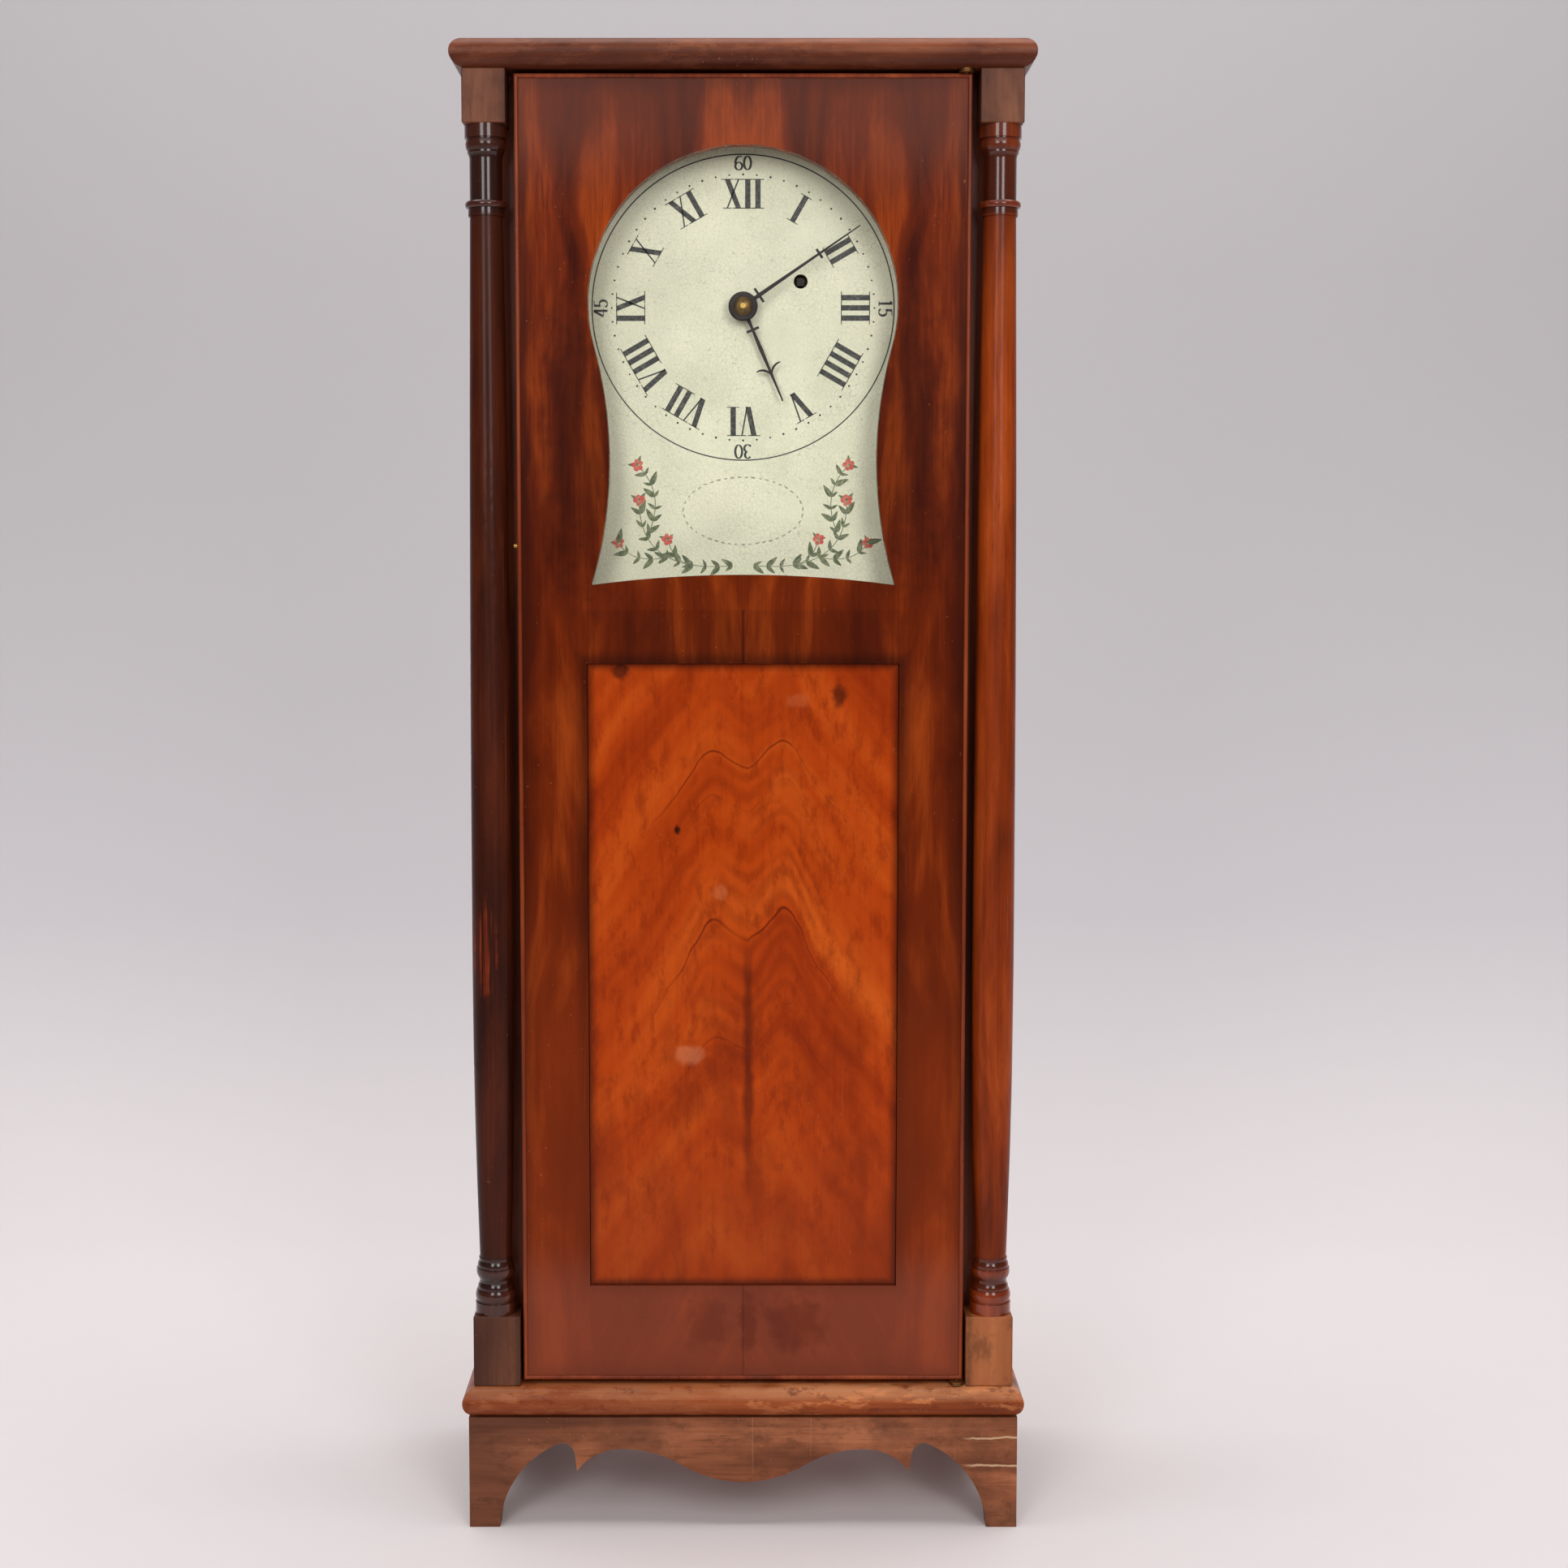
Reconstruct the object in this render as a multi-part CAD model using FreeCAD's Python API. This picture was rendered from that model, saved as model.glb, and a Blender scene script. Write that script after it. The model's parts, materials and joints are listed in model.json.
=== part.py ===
import FreeCAD
import Part
import math
import os

# A weight-driven shelf clock: mahogany case with two columns, a glazed door and an eight-day movement.
# Millimetres. X runs to the right of the clock as it is looked at, Y runs from front to back, Z runs up.
# The origin lies on the floor under the middle of the case.

V = FreeCAD.Vector
Y_AXIS = V(0, 1, 0)
Z_AXIS = V(0, 0, 1)

# Overall size of the case
height = 838.0
board_width = 321.0
depth = 172.0
top_board_thick = 16.0
base_board_thick = 17.6
foot_height = 64.6
board_overhang = 6.2
back_overhang = 2.0

# Column and its blocks
top_block_width = 24.0
top_block_height = 29.4
bottom_block_width = 26.8
bottom_block_height = 40.4
block_depth = 24.0
block_easing = 0.6
abacus_radius = 11.7
abacus_height = 7.1
cap_groove_height = 0.6
cap_groove_in = 1.0
cap_ring_height = 6.2
cap_fillet_in = 1.5
cap_fillet_height = 1.1
cap_cove_height = 4.2
neck_radius = 9.1
neck_height = 22.2
collar_bead_height = 3.6
collar_band_in = 1.7
collar_band_height = 4.4
belly_radius = 11.75
belly_above_ankle = 165.0
belly_bow_share = 0.25
ankle_radius = 9.0
ring_radius = 11.7
bead_edge_in = 0.8
ankle_fillet_in = 2.2
ankle_fillet_height = 1.9
small_bead_in = 1.3
small_bead_height = 4.2
big_bead_height = 6.7
ring_groove_in = 2.3
ring_groove_height = 1.8
disc_groove_height = 0.6
plinth_disc_height = 6.5

# Carcass boards
side_inset = 3.4
side_thick = 14.0
face_thick = 12.0
face_dial_gap = 17.2
face_rail_height = 18.0
back_thick = 10.0
apron_setback = 3.4
apron_thick = 12.0
foot_width = 17.4
foot_arch_width = 35.3
foot_arch_height = 49.7
foot_bow_share = 0.15
small_arch_radius = 8.0
cusp_width = 1.1
cusp_height = 33.1
big_arch_width = 25.8
big_arch_height = 46.0
drop_height = 26.6
glue_block_thick = 14.0
glue_block_drop = 22.0
rear_bracket_width = 48.0

# Door
door_side_gap = 4.2
door_back_gap = 0.6
door_thick = 17.6
door_stile_width = 36.0
surround_side_margin = 1.5
door_top_rail = 27.0
door_middle_rail = 30.0
door_bottom_rail = 52.4
bead_width = 2.4
bead_proud = 1.5
frame_lip = 10.0
rebate_width = 7.0
panel_recess = 2.5
panel_thick = 9.0
panel_clearance = 0.25
opening_rise = 5.7
waist_share = 0.8643
flare_share = 0.8074
arch_margin = 8.6
glass_thick = 2.0
glass_clearance = 0.5
hinge_leaf_thick = 1.0
hinge_leaf_width = 8.0
hinge_leaf_length = 20.0
hinge_pin_radius = 1.0
hinge_pin_forward = 2.5
hinge_pin_inset = 3.5
leaf_clearance = 0.1
catch_radius = 1.3
catch_reach = 2.6
catch_below_dial = 134.0

# Dial and hands
dial_setback = 10.0
dial_thick = 1.5
dial_margin = 8.5
dial_hole_radius = 5.5
winding_hole_radius = 4.0
minute_hand_short = 6.9
minute_root_half = 1.25
minute_tip_half = 0.3
minute_low_bar = 10.9
minute_low_bar_half = 4.6
minute_high_bar_share = 0.653
minute_high_bar_half = 3.0
hand_bar_height = 1.4
minute_hand_angle = 55.7
hour_hand_share = 0.6613
hour_root_half = 1.4
hour_tip_half = 0.4
hour_bar = 13.8
hour_bar_half = 3.8
hour_arm_share = 0.262
hour_arm_reach = 7.4
hour_arm_drop = 6.0
hour_arm_thick = 1.2
hour_arm_tip = 0.5
hour_hand_angle = 156.8
hand_thick = 0.8
hand_hub_radius = 8.2
hour_hub_radius = 6.5
hand_hub_thick = 2.2
collet_radius = 5.2
collet_height = 2.2
collet_pin_radius = 0.45
hour_hand_ahead = 4.0
minute_hand_ahead = 8.2

# Movement plates and fittings
plate_thick = 3.0
plate_gap = 32.0
plate_half_width = 70.0
plate_below_dial = 46.0
plate_above_dial = 76.0
plate_corner = 22.0
dial_to_plate = 22.5
pillar_radius = 4.0
pillar_x = 58.0
pillar_end_radius = 2.0
pin_radius = 0.6
dial_foot_radius = 2.5
dial_foot_x = 46.0
fit_clearance = 0.05
pivot_radius = 0.7
end_shake = 0.3
seat_thick = 14.0
seat_front_gap = 3.0
seat_behind_plate = 4.0
cleat_size = 16.0
screw_radius = 2.2
screw_head_radius = 4.2
screw_head_height = 1.8
screw_length = 18.0

# Wheels: the modules follow from the spacing of the arbors
winding_offset_x = 32.5
winding_offset_z = 14.8
great_teeth = 128
pinion_leaves = 8
centre_teeth = 80
centre_module = 0.5
third_teeth = 72
third_module = 0.45
third_arbor_angle = 125.0
escape_teeth = 30
escape_radius = 15.0
escape_tooth_depth = 3.2
pallet_clearance = 1.0
cannon_leaves = 12
minute_teeth = 36
minute_module = 0.5
minute_leaves = 10
hour_teeth = 40
minute_post_angle = 205.0
minute_post_radius = 1.2
minute_post_length = 12.0
wheel_thick = 1.6
great_wheel_thick = 2.4
great_wheel_layer = 2.4
drum_layer = 7.4
centre_wheel_layer = 8.0
third_wheel_layer = 18.0
escape_wheel_layer = 24.0
drum_core_radius = 8.9
drum_flange_radius = 12.6
drum_flange_thick = 1.5
drum_length = 20.0
ratchet_teeth = 16
ratchet_tooth_depth = 1.6
winding_arbor_radius = 2.5
winding_square = 4.2
square_end_gap = 1.2

# Pendulum, weight and line
pendulum_length = 446.0
pendulum_behind_plate = 15.0
spring_thick = 0.3
spring_width = 4.0
rod_radius = 1.6
bob_radius = 40.0
bob_thick = 15.0
bob_bore_clearance = 0.25
nut_radius = 6.0
nut_height = 5.0
nut_gap = 0.1
rod_tail = 14.0
cock_height = 28.0
cock_half_width = 16.0
cock_plate_thick = 3.0
crutch_radius = 1.1
crutch_drop = 58.0
line_radius = 0.8
line_gap = 0.1
weight_radius = 21.5
weight_height = 118.0
weight_floor_gap = 12.0
pulley_flange = 2.5
pulley_thick = 7.0
stirrup_thick = 2.0
stirrup_gap = 0.6
stirrup_rise = 36.0
anchor_drop = 6.0

# Planes and positions that follow from the sizes above
front = -depth / 2
back = depth / 2
floor_z = foot_height + base_board_thick
ceiling_z = height - top_board_thick
block_front = front + board_overhang
block_out = board_width / 2 - board_overhang
face_y = block_front + block_depth
column_x = block_out - top_block_width / 2
column_y = block_front + block_depth / 2
side_out = block_out - side_inset
side_in = side_out - side_thick
case_front = face_y + face_thick
back_inside = back - back_overhang - back_thick
apron_y = front + apron_setback
apron_out = board_width / 2 - apron_setback

hinge_gap = 2 * hinge_leaf_thick + leaf_clearance
door_bottom = floor_z + hinge_gap
door_top = ceiling_z - hinge_gap
door_half = block_out - top_block_width - door_side_gap
door_back = face_y - door_back_gap
door_front = door_back - door_thick
frame_half = door_half - bead_width
frame_bottom = door_bottom + bead_width
frame_top = door_top - bead_width
rebate_y = door_front + frame_lip
sight_half = frame_half - door_stile_width
opening_radius = sight_half - surround_side_margin
face_in = opening_radius + dial_margin + face_dial_gap
hinge_x = door_half - hinge_pin_inset
hinge_y = door_front - hinge_pin_forward

surround_top = frame_top - door_top_rail
dial_z = surround_top - arch_margin - opening_radius
waist_half_width = opening_radius * waist_share
waist_drop = opening_radius
opening_drop = waist_drop + opening_radius * flare_share
minute_hand_length = opening_radius - minute_hand_short
minute_high_bar = minute_hand_length * minute_high_bar_share
hour_hand_length = opening_radius * hour_hand_share
hour_arm_root = hour_hand_length * (1 - hour_arm_share)
dial_front = face_y + dial_setback
dial_back = dial_front + dial_thick
surround_bottom = dial_z - opening_drop - 2 * rebate_width
panel_top = surround_bottom - door_middle_rail
panel_bottom = frame_bottom + door_bottom_rail

plate_front = dial_back + dial_to_plate
plate_inner = plate_front + plate_thick
rear_inner = plate_inner + plate_gap
rear_outer = rear_inner + plate_thick
seat_top = dial_z - plate_below_dial
seat_bottom = seat_top - seat_thick
seat_back = rear_outer + seat_behind_plate
pillar_low_z = dial_z - plate_below_dial + 10
pillar_high_z = dial_z + plate_above_dial - plate_corner + 2

winding_x = winding_offset_x
winding_z = dial_z + winding_offset_z
great_distance = math.hypot(winding_offset_x, winding_offset_z)
great_module = 2 * great_distance / (great_teeth + pinion_leaves)
third_distance = centre_module * (centre_teeth + pinion_leaves) / 2
third_x = third_distance * math.cos(math.radians(third_arbor_angle))
third_z = dial_z + third_distance * math.sin(math.radians(third_arbor_angle))
escape_distance = third_module * (third_teeth + pinion_leaves) / 2
escape_x = 0.0
escape_z = third_z + math.sqrt(escape_distance ** 2 - third_x ** 2)
pallet_z = escape_z + escape_radius * math.sqrt(2)
minute_distance = minute_module * (cannon_leaves + minute_teeth) / 2
hour_module = 2 * minute_distance / (minute_leaves + hour_teeth)
post_x = minute_distance * math.cos(math.radians(minute_post_angle))
post_z = dial_z + minute_distance * math.sin(math.radians(minute_post_angle))

pendulum_y = rear_outer + pendulum_behind_plate
bob_z = pallet_z - pendulum_length
line_run = drum_core_radius + line_gap + line_radius
line_x = winding_x - line_run
weight_bottom = floor_z + weight_floor_gap
weight_top = weight_bottom + weight_height
pulley_z = weight_top + stirrup_rise
drum_start = plate_inner + drum_layer
drum_end = drum_start + drum_length
line_y = (drum_start + drum_end) / 2

parts = {}


# Small builders used by every piece
def box(x0, x1, y0, y1, z0, z1):
    return Part.makeBox(x1 - x0, y1 - y0, z1 - z0, V(x0, y0, z0))


def eased_box(x0, x1, y0, y1, z0, z1, radius):
    solid = box(x0, x1, y0, y1, z0, z1)
    return solid.makeFillet(radius, solid.Edges)


def rod_y(x, z, radius, y0, y1):
    return Part.makeCylinder(radius, y1 - y0, V(x, y0, z), Y_AXIS)


def rod_z(x, y, radius, z0, z1):
    return Part.makeCylinder(radius, z1 - z0, V(x, y, z0), Z_AXIS)


def rod_x(y, z, radius, x0, x1):
    return Part.makeCylinder(radius, x1 - x0, V(x0, y, z), V(1, 0, 0))


def tube_y(x, z, outer, inner, y0, y1):
    return rod_y(x, z, outer, y0, y1).cut(rod_y(x, z, inner, y0 - 1, y1 + 1))


def at(x, z, y=0.0):
    return V(x, y, z)


def line(p, q):
    return Part.makeLine(p, q)


def arc(p, q, r):
    return Part.Arc(p, q, r).toShape()


def polygon(points, y=0.0):
    corners = [at(x, z, y) for x, z in points]
    return Part.makePolygon(corners + corners[:1])


def circle(x, z, radius, y=0.0):
    return Part.Wire(Part.makeCircle(radius, at(x, z, y), Y_AXIS))


def cut_sheet(wires, y0, y1):
    """A flat sheet facing forward: the first wire is its outline, the others are holes."""
    face = Part.makeFace(wires, "Part::FaceMakerBullseye")
    face.translate(V(0, y0, 0))
    return face.extrude(V(0, y1 - y0, 0))


def mirror_x(shape):
    return shape.mirror(V(0, 0, 0), V(1, 0, 0))


def both_sides(shape):
    return [shape, mirror_x(shape)]


def place(node, *solids):
    """Keeps the solids of one node, split into single solids."""
    kept = []
    for shape in solids:
        kept += shape.Solids
    parts[node] = kept


# Case: boards with a round nose on three edges
def nose_profile(half_length, z0, thick, square_far_end):
    radius = thick / 2
    near = -half_length + radius
    far = half_length if square_far_end else half_length - radius
    edges = [
        line(at(near, z0), at(far, z0)),
        arc(at(near, z0 + thick), at(-half_length, z0 + radius), at(near, z0)),
        line(at(far, z0 + thick), at(near, z0 + thick)),
    ]
    if square_far_end:
        edges.append(line(at(far, z0), at(far, z0 + thick)))
    else:
        edges.append(arc(at(far, z0), at(half_length, z0 + radius), at(far, z0 + thick)))
    return Part.Wire(Part.__sortEdges__(edges))


def nosed_board(z0, thick):
    across = cut_sheet([nose_profile(board_width / 2, z0, thick, False)], front, back)
    along = cut_sheet([nose_profile(depth / 2, z0, thick, True)], -board_width / 2, board_width / 2)
    along.rotate(V(0, 0, 0), Z_AXIS, 90)
    return across.common(along)


place("top_board", nosed_board(ceiling_z, top_board_thick))
place("base_board", nosed_board(foot_height, base_board_thick))

side = box(side_in, side_out, case_front, back_inside, floor_z, ceiling_z)
place("case_sides", *both_sides(side))
place("backboard", box(-side_out, side_out, back_inside, back_inside + back_thick, floor_z, ceiling_z))
face_stile = box(face_in, side_out, face_y, case_front, floor_z, ceiling_z)
place(
    "face_frame",
    *both_sides(face_stile),
    box(-face_in, face_in, face_y, case_front, floor_z, floor_z + face_rail_height),
    box(-face_in, face_in, face_y, case_front, ceiling_z - face_rail_height, ceiling_z),
)


# Column: one turning profile, drawn upward in steps of height, new radius and outward bow
def turned(foot_z, steps):
    corner = V(0, 0, foot_z)
    edges = []
    for rise, radius, bow in steps:
        goal = V(radius, 0, corner.z + rise)
        if bow:
            outward = V(rise, 0, corner.x - radius).normalize()
            edges.append(arc(corner, (corner + goal) / 2 + outward * bow, goal))
        else:
            edges.append(line(corner, goal))
        corner = goal
    edges.append(line(corner, V(0, 0, foot_z)))
    return Part.Face(Part.Wire(edges)).revolve(V(0, 0, 0), Z_AXIS, 360)


def column(x):
    bead_edge = ring_radius - bead_edge_in
    small_bead = ring_radius - small_bead_in
    groove = ring_radius - ring_groove_in
    fillet = ring_radius - ankle_fillet_in
    band = ring_radius - collar_band_in
    cap_fillet = abacus_radius - cap_fillet_in
    cap_groove = abacus_radius - cap_groove_in
    base_steps = [
        (0, ring_radius, 0),
        (plinth_disc_height, ring_radius, 0),
        (0, bead_edge, 0),
        (disc_groove_height, bead_edge, 0),
        (big_bead_height, bead_edge, bead_edge_in),
        (0, small_bead, 0),
        (small_bead_height, groove, bead_edge_in / 2),
        (ring_groove_height, groove, 0),
        (big_bead_height, bead_edge, bead_edge_in),
        (0, small_bead, 0),
        (small_bead_height, fillet, bead_edge_in / 2),
        (ankle_fillet_height, fillet, 0),
        (0, ankle_radius, 0),
    ]
    top_steps = [
        (0, band, 0),
        (collar_band_height, band, 0),
        (0, bead_edge, 0),
        (collar_bead_height, bead_edge, bead_edge_in),
        (0, neck_radius, 0),
        (neck_height, neck_radius, 0),
        (cap_cove_height, cap_fillet, -bead_edge_in / 2),
        (cap_fillet_height, cap_fillet, 0),
        (cap_ring_height, cap_groove, bead_edge_in),
        (cap_groove_height, cap_groove, 0),
        (0, abacus_radius, 0),
        (abacus_height, abacus_radius, 0),
        (0, 0, 0),
    ]
    foot_z = floor_z + bottom_block_height
    top_z = ceiling_z - top_block_height
    steps_height = sum(step[0] for step in base_steps + top_steps)
    shaft_height = top_z - foot_z - steps_height
    shaft_steps = [
        (belly_above_ankle, belly_radius, (belly_radius - ankle_radius) * belly_bow_share),
        (shaft_height - belly_above_ankle, neck_radius, (belly_radius - neck_radius) * belly_bow_share),
    ]
    solid = turned(foot_z, base_steps + shaft_steps + top_steps)
    solid.translate(V(x, column_y, 0))
    return solid


place("column_right", column(column_x))
place("column_left", column(-column_x))
top_block = eased_box(
    block_out - top_block_width, block_out, block_front, face_y,
    ceiling_z - top_block_height, ceiling_z, block_easing,
)
bottom_block = eased_box(
    block_out - bottom_block_width, block_out, block_front, face_y,
    floor_z, floor_z + bottom_block_height, block_easing,
)
place("column_blocks", *both_sides(top_block), *both_sides(bottom_block))


# Apron: bracket feet joined by a scalloped front, sawn from one outline
def foot_edges(outer, sign):
    """Foot bottom, foot arch and small arch, from the outer corner to the cusp."""
    inner = outer - foot_width
    arch_x = inner - foot_arch_width
    small_x = arch_x - small_arch_radius
    cusp_x = small_x - cusp_width
    turn = small_arch_radius * (1 - math.sqrt(0.5))
    chord = V(foot_arch_width, foot_arch_height, 0)
    bow = chord.Length * foot_bow_share
    normal = V(foot_arch_height, foot_arch_width, 0).normalize()
    bow_x = (inner + arch_x) / 2 + normal.x * bow
    bow_z = foot_arch_height / 2 + normal.y * bow
    return cusp_x, [
        line(at(sign * outer, 0), at(sign * inner, 0)),
        arc(at(sign * inner, 0), at(sign * bow_x, bow_z), at(sign * arch_x, foot_arch_height)),
        arc(
            at(sign * arch_x, foot_arch_height),
            at(sign * (small_x + turn), foot_arch_height - turn),
            at(sign * small_x, foot_arch_height - small_arch_radius),
        ),
        line(
            at(sign * small_x, foot_arch_height - small_arch_radius),
            at(sign * cusp_x, cusp_height),
        ),
    ]


def big_arch(cusp_x, sign):
    """Arc from the cusp up to a level crown."""
    rise = big_arch_height - cusp_height
    radius = (big_arch_width ** 2 + rise ** 2) / (2 * rise)
    half = math.asin(big_arch_width / radius) / 2
    crown = cusp_x - big_arch_width
    mid = at(sign * (crown + radius * math.sin(half)), big_arch_height - radius * (1 - math.cos(half)))
    return crown, arc(at(sign * cusp_x, cusp_height), mid, at(sign * crown, big_arch_height))


def ogee(crown, sign):
    """Two equal arcs from the crown down to the drop in the middle."""
    fall = big_arch_height - drop_height
    radius = (crown ** 2 + fall ** 2) / (4 * fall)
    quarter = math.asin(crown / 2 / radius) / 2
    bow = radius * (1 - math.cos(quarter))
    reach = radius * math.sin(quarter)
    middle = at(sign * crown / 2, (big_arch_height + drop_height) / 2)
    return [
        arc(at(sign * crown, big_arch_height), at(sign * (crown - reach), big_arch_height - bow), middle),
        arc(middle, at(sign * reach, drop_height + bow), at(0, drop_height)),
    ]


def apron_outline(outer, flat_middle):
    edges = [line(at(-outer, foot_height), at(outer, foot_height))]
    for sign in (-1, 1):
        cusp_x, foot = foot_edges(outer, sign)
        edges.append(line(at(sign * outer, foot_height), at(sign * outer, 0)))
        edges += foot
        if flat_middle:
            edges.append(line(at(sign * cusp_x, cusp_height), at(sign * cusp_x, big_arch_height)))
        else:
            crown, curve = big_arch(cusp_x, sign)
            edges.append(curve)
            edges += ogee(crown, sign)
    if flat_middle:
        edges.append(line(at(-cusp_x, big_arch_height), at(cusp_x, big_arch_height)))
    return Part.Wire(Part.__sortEdges__(edges))


place("front_apron", cut_sheet([apron_outline(apron_out, False)], apron_y, apron_y + apron_thick))
apron_back = back - back_overhang
side_half = (apron_back - apron_y - apron_thick) / 2
side_middle = (apron_back + apron_y + apron_thick) / 2
side_apron = cut_sheet([apron_outline(side_half, True)], 0, apron_thick)
side_apron.rotate(V(0, 0, 0), Z_AXIS, 90)
side_apron.translate(V(apron_out, side_middle, 0))
place("side_aprons", *both_sides(side_apron))

bracket_out = apron_out - apron_thick
bracket = cut_sheet(
    [
        polygon(
            [
                (bracket_out, 0),
                (bracket_out, foot_height),
                (bracket_out - rear_bracket_width, foot_height),
                (bracket_out - rear_bracket_width, foot_arch_height),
                (bracket_out - foot_width, 0),
            ]
        )
    ],
    apron_back - apron_thick,
    apron_back,
)
place("rear_brackets", *both_sides(bracket))

glue_in = apron_out - foot_width - foot_arch_width
glue_block = cut_sheet(
    [
        polygon(
            [
                (bracket_out, foot_height),
                (glue_in, foot_height),
                (glue_in, foot_height - glue_block_drop + 4),
                (bracket_out - apron_thick, foot_height - glue_block_drop - 4),
                (bracket_out, foot_width),
            ]
        )
    ],
    apron_y + apron_thick,
    apron_y + apron_thick + glue_block_thick,
)
place("glue_blocks", *both_sides(glue_block))


# Door frame: stiles and rails with a rebate along the back for the panel and the glass
stile = box(sight_half, frame_half, door_front, door_back, frame_bottom, frame_top).cut(
    box(sight_half, sight_half + rebate_width, rebate_y, door_back, panel_bottom - rebate_width, surround_top)
)
place("door_stile_right", stile)
place("door_stile_left", mirror_x(stile))
place("door_top_rail", box(-sight_half, sight_half, door_front, door_back, surround_top, frame_top))
place(
    "door_middle_rail",
    box(-sight_half, sight_half, door_front, door_back, panel_top, surround_bottom)
    .cut(box(-sight_half, sight_half, rebate_y, door_back, panel_top, panel_top + rebate_width))
    .cut(box(-sight_half, sight_half, rebate_y, door_back, surround_bottom - rebate_width, surround_bottom)),
)
place(
    "door_bottom_rail",
    box(-sight_half, sight_half, door_front, door_back, frame_bottom, panel_bottom).cut(
        box(-sight_half, sight_half, rebate_y, door_back, panel_bottom - rebate_width, panel_bottom)
    ),
)


def kidney(margin):
    """Round head, a waist on each side and an arched foot, grown outwards by the margin."""
    radius = opening_radius + margin
    waist = waist_half_width + margin
    drop = opening_drop + margin
    waist_radius = (waist ** 2 + waist_drop ** 2 - radius ** 2) / (2 * (radius - waist))
    waist_centre = waist + waist_radius
    reach = radius + waist_radius
    join_x = radius * waist_centre / reach
    join_z = dial_z - radius * waist_drop / reach
    foot_x = waist_centre - math.sqrt(waist_radius ** 2 - (drop - waist_drop) ** 2)
    foot_z = dial_z - drop
    waist_z = dial_z - waist_drop
    return Part.Wire(
        [
            arc(at(join_x, join_z), at(0, dial_z + radius), at(-join_x, join_z)),
            arc(at(-join_x, join_z), at(-waist, waist_z), at(-foot_x, foot_z)),
            arc(at(-foot_x, foot_z), at(0, foot_z + opening_rise), at(foot_x, foot_z)),
            arc(at(foot_x, foot_z), at(waist, waist_z), at(join_x, join_z)),
        ]
    )


surround_outline = polygon(
    [
        (-sight_half, surround_bottom),
        (sight_half, surround_bottom),
        (sight_half, surround_top),
        (-sight_half, surround_top),
    ]
)
place("dial_surround", cut_sheet([surround_outline, kidney(0)], door_front, rebate_y))

glass_half = sight_half + rebate_width - glass_clearance
glass_low = surround_bottom - rebate_width + glass_clearance
glass_high = surround_top - glass_clearance
glass_back = rebate_y + glass_thick
place("door_glass", box(-glass_half, glass_half, rebate_y, glass_back, glass_low, glass_high))
strip_in = glass_half - rebate_width + 2 * glass_clearance
strip_right = box(strip_in, glass_half, glass_back, door_back, glass_low, glass_high)
strip_low = box(-strip_in, strip_in, glass_back, door_back, glass_low, glass_low + rebate_width)
strip_high = box(-strip_in, strip_in, glass_back, door_back, glass_high - rebate_width, glass_high)
place("glazing_strips", *both_sides(strip_right), strip_low, strip_high)

field_half = sight_half - panel_clearance
field = box(
    -field_half, field_half, door_front + panel_recess, rebate_y,
    panel_bottom + panel_clearance, panel_top - panel_clearance,
)
flange_half = sight_half + rebate_width - glass_clearance
flange = box(
    -flange_half, flange_half, rebate_y, door_front + panel_recess + panel_thick,
    panel_bottom - rebate_width + glass_clearance, panel_top + rebate_width - glass_clearance,
)
place("door_panel", field.fuse(flange).removeSplitter())

# Bead round the door edge: four mitred strips with a round front
bead_front = door_front - bead_proud


def bead_strip(points, along):
    solid = cut_sheet([polygon(points)], bead_front, door_back)
    edges = []
    for edge in solid.Edges:
        first, last = edge.Vertexes[0].Point, edge.Vertexes[-1].Point
        run = (last - first).normalize()
        if first.y < bead_front + 0.01 and last.y < bead_front + 0.01 and abs(run.dot(along)) > 0.99:
            edges.append(edge)
    return solid.makeFillet(bead_width * 0.45, edges)


bead_right = bead_strip(
    [
        (frame_half, frame_bottom),
        (door_half, door_bottom),
        (door_half, door_top),
        (frame_half, frame_top),
    ],
    Z_AXIS,
)
bead_low = bead_strip(
    [
        (-door_half, door_bottom),
        (door_half, door_bottom),
        (frame_half, frame_bottom),
        (-frame_half, frame_bottom),
    ],
    V(1, 0, 0),
)
bead_high = bead_strip(
    [
        (-frame_half, frame_top),
        (frame_half, frame_top),
        (door_half, door_top),
        (-door_half, door_top),
    ],
    V(1, 0, 0),
)
place("door_bead", *both_sides(bead_right), bead_low, bead_high)

# Knife hinges: a leaf on the case with the pin, a leaf on the door that turns on it
def hinge_leaf(z0, hole_radius):
    half = hinge_leaf_width / 2
    nose = Part.makeCylinder(half, hinge_leaf_thick, V(hinge_x, hinge_y, z0))
    tail = box(hinge_x - half, hinge_x + half, hinge_y, hinge_y + hinge_leaf_length, z0, z0 + hinge_leaf_thick)
    leaf = nose.fuse(tail).removeSplitter()
    if hole_radius:
        leaf = leaf.cut(rod_z(hinge_x, hinge_y, hole_radius, z0 - 1, z0 + hinge_leaf_thick + 1))
    return leaf


def hinge_with_pin(z0, pin_from, pin_to):
    return hinge_leaf(z0, 0).fuse(rod_z(hinge_x, hinge_y, hinge_pin_radius, pin_from, pin_to)).removeSplitter()


place(
    "case_hinge_leaves",
    hinge_with_pin(floor_z, floor_z, door_bottom + 0.6),
    hinge_with_pin(ceiling_z - hinge_leaf_thick, door_top - 0.6, ceiling_z),
)
door_leaf_bore = hinge_pin_radius + fit_clearance
place(
    "door_hinge_leaves",
    hinge_leaf(door_bottom - hinge_leaf_thick, door_leaf_bore),
    hinge_leaf(door_top, door_leaf_bore),
)
catch_y = (door_front + door_back) / 2
catch_z = dial_z - catch_below_dial
place("door_catch", rod_x(catch_y, catch_z, catch_radius, -door_half - catch_reach, -door_half))

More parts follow.
